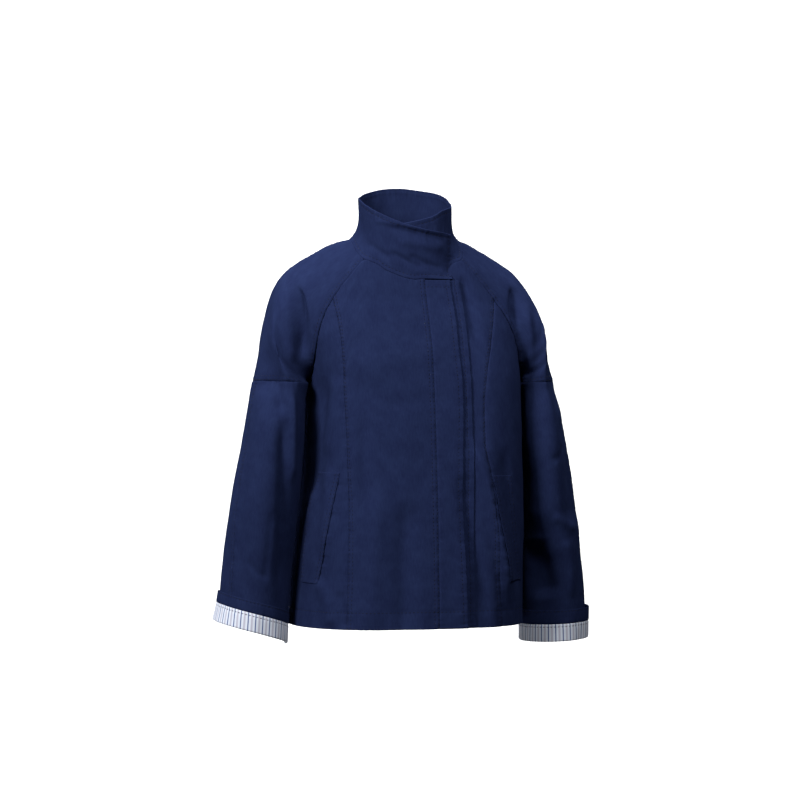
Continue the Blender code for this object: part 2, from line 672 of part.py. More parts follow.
def sew_panel(name, surface, thickness, material, edges=(), mirrored=False, closed=False):
    """One piece of cloth from its outer points and normals, its sewn edges drawn in."""
    points, normals = surface
    outer = drawn_in(points, edges)
    inner = drawn_in(points - normals * thickness, edges)
    faces = wall_faces(*points.shape[:2], closed)
    if mirrored:
        faces = [face[::-1] for face in faces]
    corners = np.concatenate([outer.reshape(-1, 3), inner.reshape(-1, 3)]) * MM
    mesh = bpy.data.meshes.new(name)
    mesh.from_pydata(corners.tolist(), [], faces)
    mesh.update()
    mesh.shade_smooth()
    mesh.set_sharp_from_angle(angle=math.radians(50))
    mesh.materials.append(material)
    piece = bpy.data.objects.new(name, mesh)
    bpy.context.scene.collection.objects.link(piece)
    return piece


def sew_body(navy):
    """The five panels of the body, the outer fly and the strip beneath it."""
    right = body_surface(front_centre_right())
    sew_panel("front_centre_R", right, CLOTH_THICKNESS, navy, ("top", "first", "last"))
    left = body_surface(front_centre_left(), underlap_level)
    sew_panel("front_centre_L", left, CLOTH_THICKNESS, navy, ("top", "last"))
    for side, letter, level_of in ((-1, "R", no_level), (1, "L", underlap_level)):
        surface = body_surface(front_side(side), level_of)
        edges = ("top", "first", "last")
        sew_panel("front_side_" + letter, surface, CLOTH_THICKNESS, navy, edges, side < 0)
    back = body_surface(back_panel())
    sew_panel("back", back, CLOTH_THICKNESS, navy, ("top", "first", "last"))
    flap = body_surface(strip_on_front(PLACKET_SEAM, FLAP_EDGE, PLACKET_TOP_DROP, PLACKET_SPANS))
    sew_panel("placket_flap", flap, CLOTH_THICKNESS, navy, ("first",))
    tucked = tuple((drop, x - STRIP_TUCK) for drop, x in FLAP_EDGE)
    strip = body_surface(strip_on_front(tucked, STRIP_EDGE, PLACKET_TOP_DROP, PLACKET_SPANS), strip_level)
    sew_panel("placket_strip", strip, CLOTH_THICKNESS, navy)


def sew_pocket_welts(navy):
    """The slanted welts, laid on the side fronts and made from their points."""
    for side, *rows in POCKET_WELTS:
        grid = front_side(side)
        points, normals = body_surface(grid, underlap_level if side > 0 else no_level)
        raised = points + normals * WELT_GAP
        drops = np.linspace(rows[0][0], rows[-1][0], WELT_ROWS + 1)
        mouth = angle_at(smooth_lookup(rows, 1, drops), drops)
        sewn = angle_at(smooth_lookup(rows, 2, drops), drops)
        places = []
        for drop, first, last in zip(drops, mouth, sewn):
            angles = np.linspace(first, last, WELT_COLUMNS + 1)
            places.append([on_panel(grid, raised, angle, drop) for angle in angles])
        laid = np.array(places)
        facing = outward_normals(laid, np.gradient(laid, axis=0), np.gradient(laid, axis=1)) * side
        welt = laid + facing * WELT_THICKNESS
        letter = "L" if side > 0 else "R"
        sew_panel("pocket_welt_" + letter, (welt, facing), WELT_THICKNESS, navy, (), side < 0)


def sew_sleeves(navy, striped):
    """Both sleeves in four panels each, with their striped turn-ups and navy bands."""
    seam_row = RAGLAN_SPANS
    half = SLEEVE_HALF_COLUMNS
    outer_seam = half - OUTER_SEAM_AHEAD
    for side, _, _, stand_off in SLEEVE_ENDS:
        letter = "L" if side > 0 else "R"
        sleeve = whole_sleeve(side)
        every, lower = ("top", "bottom", "first", "last"), ("top", "first", "last")
        for name, rows, columns, edges in (
            ("sleeve_upper_front_", slice(0, seam_row + 1), slice(0, half + 1), every),
            ("sleeve_upper_back_", slice(0, seam_row + 1), slice(half, None), every),
            ("sleeve_lower_front_", slice(seam_row, None), slice(0, outer_seam + 1), lower),
            ("sleeve_lower_back_", slice(seam_row, None), slice(outer_seam, None), lower),
        ):
            surface = tuple(values[rows, columns] for values in sleeve)
            sew_panel(name + letter, surface, CLOTH_THICKNESS, navy, edges, side < 0)
        sew_turn_up(side, letter, stand_off, navy, striped)


def sew_turn_up(side, letter, stand_off, navy, striped):
    """The striped facing folded up over the sleeve's end, and the navy band above it."""
    level = TURN_UP_CLEARANCE + FACING_THICKNESS
    band_bottom = 2 - TURN_UP_SHARE + BAND_SHARE
    band_shares = np.linspace(2 - TURN_UP_SHARE, band_bottom - SEAM_SHARE, 3)
    band = sleeve_surface(side, band_shares, level, stand_off)
    facing_shares = np.linspace(band_bottom, 2.0, 4)
    facing, _ = sleeve_surface(side, facing_shares, level, stand_off)
    centre = facing[-1, :-1].mean(axis=0)
    lip = []
    for inwards, drop in FOLD_LIP:
        inner_way = (centre - facing[-1]) * np.array([1.0, 1.0, 0.0])
        inner_way /= np.linalg.norm(inner_way, axis=-1, keepdims=True)
        lip.append(facing[-1] + inner_way * inwards - np.array([0.0, 0.0, drop]))
    facing = np.concatenate([facing, np.array(lip)])
    normals = outward_normals(facing, np.gradient(facing, axis=0), step_round(facing)) * side
    for name, (points, normal), material in (
        ("cuff_band_", band, navy), ("cuff_facing_", (facing, normals), striped)
    ):
        open_ring = (points[:, :-1], normal[:, :-1])
        sew_panel(name + letter, open_ring, FACING_THICKNESS, material, (), side < 0, closed=True)


def collar_base():
    """Points of the collar's lower edge and the turn round the neck of each."""
    placket_angle = math.degrees(angle_at(smooth_lookup(PLACKET_SEAM, 1, NECK_DROP), NECK_DROP))
    flap_drop = np.full(COLLAR_FLAP_COLUMNS, COLLAR_FLAP_DROP)
    flap_end = angle_at(COLLAR_FLAP_END, COLLAR_FLAP_DROP)
    flap_angle = np.linspace(flap_end, math.radians(placket_angle), COLLAR_FLAP_COLUMNS)
    flap = body_point(flap_angle, flap_drop)
    neck_corner, back_corner = RAGLAN_FRONT[0][1], RAGLAN_BACK[0][1]
    right_neck = neckline(np.linspace(placket_angle, -neck_corner, NECK_COLUMNS_RIGHT))
    right_front, _ = body_surface(right_neck[1:])
    right_side = sleeve_surface(-1, NECK_SHARES)[0][0][::2]
    back_angles = np.linspace(-back_corner, back_corner - 360, NECK_COLUMNS_BACK)
    back, _ = body_surface(neckline(back_angles))
    left_side = sleeve_surface(1, NECK_SHARES)[0][0][::-2]
    edge_angle = math.degrees(angle_at(UNDERLAP_EDGE, NECK_DROP))
    left_neck = neckline(np.linspace(neck_corner, edge_angle, NECK_COLUMNS_LEFT))
    left_front, _ = body_surface(left_neck, underlap_level)
    base = np.concatenate([flap, right_front, right_side[1:-1], back, left_side[1:-1], left_front])
    turn = np.degrees(np.unwrap(np.arctan2(-base[:, 0], COLLAR_CENTRE_Y - base[:, 1])))
    return base + np.array([0.0, 0.0, COLLAR_LIFT]), turn


def sew_collar(navy):
    """The funnel collar, one strip round the neck whose right end lies over its left end."""
    base, turn = collar_base()
    angle = np.radians(turn)
    level = UNDERLAP_LEVEL * smooth_step((turn - 300.0) / 22.0)
    depth = np.where(np.cos(angle) > 0, COLLAR_TOP_FRONT, COLLAR_TOP_BACK)
    wide = np.abs(np.sin(angle)) / COLLAR_TOP_HALF_WIDTH
    deep = np.abs(np.cos(angle)) / depth
    radius = (wide**COLLAR_SQUARENESS + deep**COLLAR_SQUARENESS) ** (-1 / COLLAR_SQUARENESS)
    radius = radius + level - smooth_lookup(COLLAR_TOP, 2, turn)
    ways = [-radius * np.sin(angle), COLLAR_CENTRE_Y - radius * np.cos(angle)]
    top = np.stack([*ways, smooth_lookup(COLLAR_TOP, 1, turn)], axis=-1)
    rows = []
    for share in np.linspace(1, 0, COLLAR_ROWS + 1):
        inwards = 1 - (1 - share) ** COLLAR_FLARE
        weights = np.array([inwards, inwards, share])
        rows.append(base * (1 - weights) + top * weights)
    points = np.array(rows)
    normals = -outward_normals(points, np.gradient(points, axis=0), np.gradient(points, axis=1))
    sew_panel("collar", (points, normals), COLLAR_THICKNESS, navy, (), True)


def main():
    """Clears the scene and sews the jacket."""
    for leftover in list(bpy.data.objects):
        bpy.data.objects.remove(leftover, do_unlink=True)
    navy = cloth_material("navy cotton twill", NAVY, 0.85)
    striped = cloth_material("striped cotton poplin", STRIPED, 0.8)
    sew_body(navy)
    sew_pocket_welts(navy)
    sew_sleeves(navy, striped)
    sew_collar(navy)


main()
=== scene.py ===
"""Funnel-neck jacket in navy cotton, dressed: cloth, creases, sewing, striped turn-ups and light.

The jacket faces -Y and stands up along +Z. Forms are worked out in millimetres, with "drop" the
distance below the origin, and become metres when a mesh is made. Side +1 is the wearer's left (+X)
and side -1 the wearer's right (-X).
"""

from __future__ import annotations

import logging
import math
from dataclasses import dataclass, replace
from enum import Enum
from typing import Sequence

import bpy
import numpy as np
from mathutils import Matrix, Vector

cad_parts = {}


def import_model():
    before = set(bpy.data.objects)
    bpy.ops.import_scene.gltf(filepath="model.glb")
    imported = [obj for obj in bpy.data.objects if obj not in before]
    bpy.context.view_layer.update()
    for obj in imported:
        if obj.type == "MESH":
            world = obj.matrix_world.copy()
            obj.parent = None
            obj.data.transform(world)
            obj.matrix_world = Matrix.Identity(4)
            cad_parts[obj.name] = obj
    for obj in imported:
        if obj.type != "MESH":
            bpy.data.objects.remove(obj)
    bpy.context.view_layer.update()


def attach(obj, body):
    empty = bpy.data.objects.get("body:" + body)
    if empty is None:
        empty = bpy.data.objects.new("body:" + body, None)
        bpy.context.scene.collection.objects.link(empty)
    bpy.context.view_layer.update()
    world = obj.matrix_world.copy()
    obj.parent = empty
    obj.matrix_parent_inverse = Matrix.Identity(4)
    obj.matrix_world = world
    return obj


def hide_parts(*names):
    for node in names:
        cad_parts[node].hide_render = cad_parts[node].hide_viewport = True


LOG = logging.getLogger("jacket")
Array = np.ndarray
Table = Sequence[Sequence[float]]
Surface = tuple[Array, Array]
Place = tuple[float, float, float]

MM = 0.001
CLOTH = 0.9
COLLAR_CLOTH = 2.0
# mean distance of the body's cloth from its axis, for a length round it
BODY_RADIUS = 165.0
# how far below the seam round the arm the lower sleeve's panels start, as a share of it
BELOW_ARM_SEAM = 0.0005


class Face(Enum):
    """The face of the jacket that a fold is seen on."""

    FRONT = "front"
    BACK = "back"


def smooth_lookup(table: Table, column: int, at: Array | float) -> Array:
    """Reads a column of a table at any place along it, as a smooth curve that never overshoots.

    Args:
        table: rows whose first number is the place along the table.
        column: the column that is read.
        at: the places.

    Returns:
        The column's value at each place.
    """
    knots = np.array([row[0] for row in table], float)
    values = np.array([row[column] for row in table], float)
    spans = np.diff(knots)
    slopes = np.diff(values) / spans
    tangents = np.concatenate([slopes[:1], np.zeros(len(knots) - 2), slopes[-1:]])
    before, after = slopes[:-1], slopes[1:]
    same_way = before * after > 0
    safe_sum = np.where(same_way, before + after, 1.0)
    tangents[1:-1] = np.where(same_way, 2 * before * after / safe_sum, 0.0)
    at = np.clip(np.asarray(at, float), knots[0], knots[-1])
    index = np.clip(np.searchsorted(knots, at, side="right") - 1, 0, len(spans) - 1)
    span = spans[index]
    t = (at - knots[index]) / span
    start = (2 * t**3 - 3 * t**2 + 1) * values[index] + (t**3 - 2 * t**2 + t) * span * tangents[index]
    end = (3 * t**2 - 2 * t**3) * values[index + 1] + (t**3 - t**2) * span * tangents[index + 1]
    return start + end


def smooth_step(value: Array | float) -> Array:
    """0 below 0, 1 above 1, and a soft slope between them."""
    value = np.clip(value, 0.0, 1.0)
    return value * value * (3 - 2 * value)


def unit(vectors: Array) -> Array:
    """The vectors at length 1."""
    return vectors / np.maximum(np.linalg.norm(vectors, axis=-1, keepdims=True), 1e-9)


def spread(length: float, fine: float = 1.2, coarse: float = 3.6, reach: float = 15.0) -> Array:
    """Places from 0 to 1 over a length in millimetres, closer together near both ends.

    Args:
        length: the length in millimetres.
        fine: the step at both ends.
        coarse: the step in the middle.
        reach: how far in from an end the fine steps last.

    Returns:
        The places, from 0 to 1.
    """
    at = np.linspace(0, length, 2000)
    step = fine + (coarse - fine) * smooth_step(np.minimum(at, length - at) / reach)
    count = np.concatenate([[0.0], np.cumsum((1 / step[1:] + 1 / step[:-1]) / 2 * np.diff(at))])
    spans = max(int(round(count[-1])), 4)
    return np.interp(np.linspace(0, count[-1], spans + 1), count, at) / length


def run_of(points: Array) -> Array:
    """Length along a line of points, from its start to each point."""
    steps = np.linalg.norm(np.diff(points, axis=0), axis=-1)
    return np.concatenate([[0.0], np.cumsum(steps)])


@dataclass(frozen=True)
class Fold:
    """One crease or drape fold, seen square on to its face: a ridge, or a trough if it rises below 0.

    The line is three points of across and drop. Before and after are its half widths towards the
    smaller and the larger across.
    """

    face: Face
    line: tuple[float, ...]
    before: float
    after: float
    rise: float

    def lift(self, across: Array, drop: Array) -> Array:
        """How far this fold lifts the cloth at these places.

        Args:
            across: distance from the centre plane.
            drop: distance below the origin.

        Returns:
            The lift in millimetres, less than 0 in a trough.
        """
        points = np.array(self.line, float).reshape(3, 2)
        nearest = np.full(np.shape(across), 1e9)
        along = np.zeros(np.shape(across))
        beside = np.zeros(np.shape(across))
        for index in range(2):
            start, end = points[index], points[index + 1]
            step = end - start
            t = ((across - start[0]) * step[0] + (drop - start[1]) * step[1]) / float(step @ step)
            t = np.clip(t, 0.0, 1.0)
            off_x = across - start[0] - t * step[0]
            away = np.hypot(off_x, drop - start[1] - t * step[1])
            closer = away < nearest
            nearest = np.where(closer, away, nearest)
            beside = np.where(closer, off_x, beside)
            along = np.where(closer, (index + t) / 2, along)
        ends = smooth_step(np.minimum(along, 1 - along) / 0.22 + 0.12)
        half_width = self.before + (self.after - self.before) * smooth_step(beside / 6.0 + 0.5)
        return self.rise * ends * np.exp(-((nearest / half_width) ** 2))


def folds_of(face: Face, rows: Table) -> tuple[Fold, ...]:
    """Folds from rows of six line numbers, two half widths and a rise."""
    return tuple(Fold(face, tuple(row[:6]), row[6], row[7], row[8]) for row in rows)


def face_weight(face: Face, normal_y: Array) -> Array:
    """1 where the cloth looks towards this face of the jacket, and 0 where it looks away."""
    towards = -normal_y if face is Face.FRONT else normal_y
    return smooth_step(towards * 2.2)


def unevenness(across: Array, drop: Array, seed: float) -> Array:
    """The slight unevenness of washed cotton: long, shallow waves in several directions.

    Args:
        across: distance across the cloth.
        drop: distance down the cloth.
        seed: a number that shifts the waves.

    Returns:
        The height of the cloth in millimetres.
    """
    height = np.zeros(np.broadcast_shapes(np.shape(across), np.shape(drop)))
    waves = ((61.0, 0.35, 0.32), (43.0, 1.9, 0.24), (29.0, 2.7, 0.15), (19.0, 0.9, 0.08), (83.0, 1.3, 0.35))
    for index, (length, heading, size) in enumerate(waves):
        turn = across * math.cos(heading) + drop * math.sin(heading) * 0.6
        height += size * np.sin(math.tau * turn / length + seed * (1.7 + index))
    return height


@dataclass(frozen=True)
class BodyForm:
    """The body of the jacket: rings round its axis, the lines of its seams, and its folds."""

    armpit_drop: float = 207.0
    hem_front: float = 572.0
    hem_back: float = 578.0
    neck_drop: float = 48.0
    placket_top: float = 50.6
    underlap: float = -5.2
    underlap_blend: float = 10.3
    underlap_edge: float = -20.0
    # drop, half width on the wearer's right and left, front depth, back depth, squareness of the
    # front on the right and on the left, and of the back
    rings: Table = (
        (-22, 74, 74, 50, 55, 2.4, 2.4, 2.4),
        (0, 108, 108, 66, 68, 2.4, 2.4, 2.4),
        (18, 128, 128, 75, 78, 2.5, 2.5, 2.4),
        (48, 141, 141, 88, 92, 2.7, 2.7, 2.5),
        (80, 154, 155, 98, 102, 3.0, 3.0, 2.6),
        (102, 160, 163, 108, 107, 3.1, 3.2, 2.7),
        (128, 161, 167, 118, 111, 3.2, 3.5, 2.7),
        (170, 155, 170, 131, 114, 3.1, 3.8, 2.8),
        (207, 151, 171, 140, 114, 2.9, 4.0, 2.8),
        (300, 156, 173, 152, 112, 2.7, 3.6, 2.8),
        (370, 161, 176, 158, 115, 2.6, 3.3, 2.7),
        (430, 168, 178, 163, 119, 2.6, 3.0, 2.6),
        (500, 175, 179, 167, 124, 2.5, 2.7, 2.5),
        (580, 179, 179, 169, 130, 2.5, 2.5, 2.5),
    )
    # angle from the front centre, drop of the neckline there
    neckline_front: Table = ((0, 50.0), (8, 48.5), (15, 45.0), (28, 36.5), (38.4, 25.5), (49.3, 18.0))
    neckline_back: Table = ((130.0, -19.0), (150.0, -20.5), (180.0, -21.0))
    # share of the raglan seam from the neck to the armpit, angle round the body, drop
    raglan_front: Table = (
        (0.0, 49.3, 18), (0.1, 53.5, 38), (0.2, 57.0, 59), (0.3, 59.3, 80), (0.4, 61.0, 104),
        (0.5, 62.8, 130), (0.6, 65.5, 154), (0.7, 69.5, 175), (0.8, 75.0, 191), (0.9, 82.0, 202),
        (1.0, 90.0, 207),
    )
    raglan_back: Table = (
        (0.0, 130.0, -19), (0.1, 129.5, 5), (0.2, 128.5, 32), (0.3, 127.0, 60), (0.4, 124.5, 88),
        (0.5, 121.5, 115), (0.6, 117.5, 141), (0.7, 112.5, 165), (0.8, 106.0, 185), (0.9, 98.5, 200),
        (1.0, 90.0, 207),
    )
    # drop, distance of the seam or edge from the centre plane on the front
    princess_right: Table = ((80, -126), (113, -122), (143, -119), (232, -115), (381, -113), (580, -119))
    princess_left: Table = (
        (80, 126), (140, 112), (205, 98), (232, 95), (295, 94), (342, 100), (427, 108), (525, 118),
        (580, 124),
    )
    placket_seam: Table = ((18, 13), (50, 14), (153, 16), (292, 17), (580, 18))
    flap_edge: Table = ((18, 53), (50, 53), (84, 55), (150, 57), (222, 60), (359, 57), (491, 59), (580, 62))
    strip_edge: Table = ((18, 58), (50, 69), (93, 72), (131, 73), (213, 74), (425, 75), (580, 76))
    folds: tuple[Fold, ...] = folds_of(
        Face.FRONT,
        (
            (-122, 195, -131, 250, -145, 320, 8, 12, 5.0),
            (-146, 195, -149, 290, -160, 380, 13, 11, -10.0),
            (-136, 330, -137, 390, -146, 470, 7, 8, 4.5),
            (-108, 200, -104, 290, -108, 380, 8, 9, 2.6),
            (-92, 250, -90, 330, -96, 420, 8, 8, -2.2),
            (73, 286, 102, 395, 136, 545, 7, 15, 10.0),
            (56, 340, 74, 440, 92, 560, 14, 12, -5.0),
            (124, 300, 136, 410, 156, 530, 10, 10, -5.0),
            (-30, 380, -36, 480, -34, 590, 17, 17, -7.0),
            (-72, 360, -80, 470, -88, 590, 14, 14, 5.0),
            (-152, 500, -142, 535, -138, 572, 8, 8, 3.5),
            (-128, 515, -122, 545, -118, 572, 7, 7, -2.5),
            (-118, 192, -30, 166, 56, 152, 26, 26, 4.0),
            (-60, 240, 0, 232, 40, 238, 13, 13, -1.4),
            (78, 40, 84, 90, 90, 150, 8, 8, -6.0),
            (-126, 96, -112, 130, -92, 160, 9, 9, -1.6),
        ),
    ) + folds_of(
        Face.BACK,
        (
            (-60, 120, -78, 300, -96, 560, 14, 22, 4.0),
            (-22, 200, -34, 380, -40, 570, 22, 18, -3.5),
            (66, 150, 74, 330, 84, 560, 20, 14, 4.5),
            (20, 260, 24, 420, 32, 570, 18, 18, -3.0),
            (-118, 190, -132, 340, -140, 540, 13, 13, -3.5),
            (116, 180, 128, 320, 144, 540, 13, 13, -3.0),
            (-96, 20, -78, 70, -52, 112, 7, 11, -1.6),
            (98, 24, 82, 66, 60, 104, 11, 7, -1.4),
            (-128, 168, -98, 196, -60, 214, 9, 9, -2.0),
            (126, 160, 100, 186, 66, 208, 9, 9, -1.8),
            (-30, 30, 2, 38, 34, 31, 10, 10, -1.2),
        ),
    )

    def ring(self, drop: Array, on_left: Array, in_front: Array) -> tuple[Array, Array, Array]:
        """Half width, depth and squareness of the body at each drop, for this quarter of its ring.

        Args:
            drop: distance below the origin.
            on_left: whether a place is on the wearer's left.
            in_front: whether it is in front.

        Returns:
            The half width, the depth and the squareness.
        """
        right, left, front, back, front_right, front_left, round_back = [
            smooth_lookup(self.rings, column, drop) for column in range(1, 8)
        ]
        half = np.where(on_left, left, right)
        depth = np.where(in_front, front, back)
        power = np.where(in_front, np.where(on_left, front_left, front_right), round_back)
        return half, depth, power

    def point(self, angle: Array, drop: Array, level: Array | float = 0.0) -> Array:
        """Points of the body's surface at these angles from the front centre, moved out by the level.

        Args:
            angle: the angles in radians.
            drop: distance below the origin.
            level: how far out of the surface the points lie.

        Returns:
            The points, folds and all.
        """
        angle, drop = np.broadcast_arrays(np.asarray(angle, float), np.asarray(drop, float))
        half, depth, power = self.ring(drop, np.sin(angle) >= 0, np.cos(angle) >= 0)
        wide = np.abs(np.sin(angle)) / half
        deep = np.abs(np.cos(angle)) / depth
        radius = (wide**power + deep**power) ** (-1 / power)
        x, y = radius * np.sin(angle), -radius * np.cos(angle)
        normal_x = np.sign(x) * (np.abs(x) / half) ** (power - 1) / half
        normal_y = np.sign(y) * (np.abs(y) / depth) ** (power - 1) / depth
        length = np.hypot(normal_x, normal_y)
        normal_x, normal_y = normal_x / length, normal_y / length
        rise = np.zeros(np.shape(x)) + level
        for fold in self.folds:
            rise = rise + fold.lift(x, drop) * face_weight(fold.face, normal_y)
        rise = rise + unevenness(x + y * 0.7, drop, 1.0) * smooth_step((drop - 60) / 120)
        return np.stack([x + normal_x * rise, y + normal_y * rise, -drop], axis=-1)

    def angle_at(self, x: Array | float, drop: Array | float) -> Array:
        """The angle round the body where its front is this far from the centre plane.

        Args:
            x: distance from the centre plane.
            drop: distance below the origin.

        Returns:
            The angle in radians.
        """
        half, front, power = self.ring(drop, np.asarray(x) >= 0, True)
        share = np.clip(np.abs(x) / half, 0.0, 0.999)
        return np.arctan2(x, front * (1 - share**power) ** (1 / power))

    def underlap_level(self, angle: Array, drop: Array) -> Array:
        """How far the left front lies in beneath the placket, and blends out beyond the strip.

        Args:
            angle: the angles in radians.
            drop: distance below the origin.

        Returns:
            The level, less than 0 where it lies in.
        """
        strip = self.angle_at(smooth_lookup(self.strip_edge, 1, drop), drop)
        beyond = (np.degrees(angle) - np.degrees(strip)) / self.underlap_blend
        return self.underlap * (1 - smooth_step(beyond))

    def hem_drop(self, angle: Array) -> Array:
        """The hem's drop at this angle round the body."""
        return self.hem_front + (self.hem_back - self.hem_front) * (1 - np.cos(angle)) / 2

    def seam(self, table: Table, top_drop: float, count: int = 240) -> Array:
        """Angle and drop of a front seam, from its top to the hem.

        Args:
            table: drops and distances from the centre plane.
            top_drop: the drop of its top.
            count: the number of points.

        Returns:
            The angles and drops, a row for each point.
        """
        drop = np.linspace(top_drop, self.hem_front, count)
        angle = self.angle_at(smooth_lookup(table, 1, drop), drop)
        drop = np.linspace(top_drop, self.hem_drop(angle[-1]), count)
        return np.stack([self.angle_at(smooth_lookup(table, 1, drop), drop), drop], axis=-1)

    def neckline(self, angles: Array) -> Array:
        """Angle and drop of the neckline at these angles in degrees.

        Args:
            angles: angles from the front centre, in degrees.

        Returns:
            The angles in radians and the drops.
        """
        size = np.minimum(np.abs(angles), 360 - np.abs(angles))
        front = smooth_lookup(self.neckline_front, 1, size)
        back = smooth_lookup(self.neckline_back, 1, size)
        return np.stack([np.radians(angles), np.where(size < 90, front, back)], axis=-1)

    def raglan(self, table: Table, side: int, shares: Array) -> Array:
        """Angle and drop of the raglan seam at these shares of its length."""
        angle = np.radians(smooth_lookup(table, 1, shares)) * side
        return np.stack([angle, smooth_lookup(table, 2, shares)], axis=-1)

    def side_seam(self, side: int, count: int = 240) -> Array:
        """Angle and drop of the side seam, from the armpit to the hem."""
        drop = np.linspace(self.armpit_drop, self.hem_drop(math.pi / 2), count)
        return np.stack([np.full(count, side * math.pi / 2), drop], axis=-1)

    def hem(self, first: float, last: float, count: int = 160) -> Array:
        """Angle and drop along the hem between two angles."""
        angle = np.linspace(first, last, count)
        return np.stack([angle, self.hem_drop(angle)], axis=-1)


def resampled(line: Array, places: Array) -> Array:
    """A line of points read at places from 0 to 1 along its list.

    Args:
        line: the points.
        places: the places.

    Returns:
        The points at those places.
    """
    at = places * (len(line) - 1)
    index = np.arange(len(line))
    return np.stack([np.interp(at, index, line[:, axis]) for axis in range(line.shape[1])], axis=-1)


def between_edges(top: Array, hem: Array, first: Array, last: Array, down: Array, across: Array) -> Array:
    """Angle and drop over a panel from its four edges, rows downwards and columns across.

    Args:
        top: the upper edge.
        hem: the lower edge.
        first: the edge of the first column.
        last: the edge of the last column.
        down: the rows' places.
        across: the columns' places.

    Returns:
        The angles and drops, rows by columns.
    """
    top, hem = resampled(top, across), resampled(hem, across)
    first, last = resampled(first, down), resampled(last, down)
    t, s = down[:, None, None], across[None, :, None]
    ruled = (1 - t) * top[None] + t * hem[None]
    bulge_first = first[:, None] - (1 - t) * first[:1][:, None] - t * first[-1:][:, None]
    bulge_last = last[:, None] - (1 - t) * last[:1][:, None] - t * last[-1:][:, None]
    return ruled + (1 - s) * bulge_first + s * bulge_last


def quarter_curve(start: Array, start_reach: Array, end_reach: Array, end: Array, t: Array) -> Array:
    """A cubic curve from start to end, leaving and arriving along the two reaches.

    Args:
        start: its start.
        start_reach: the reach from the start.
        end_reach: the reach from the end.
        end: its end.
        t: places along it.

    Returns:
        The points at those places.
    """
    t = t[..., None]
    first = (1 - t) ** 3 * start + 3 * (1 - t) ** 2 * t * (start + start_reach)
    return first + 3 * (1 - t) * t**2 * (end + end_reach) + t**3 * end


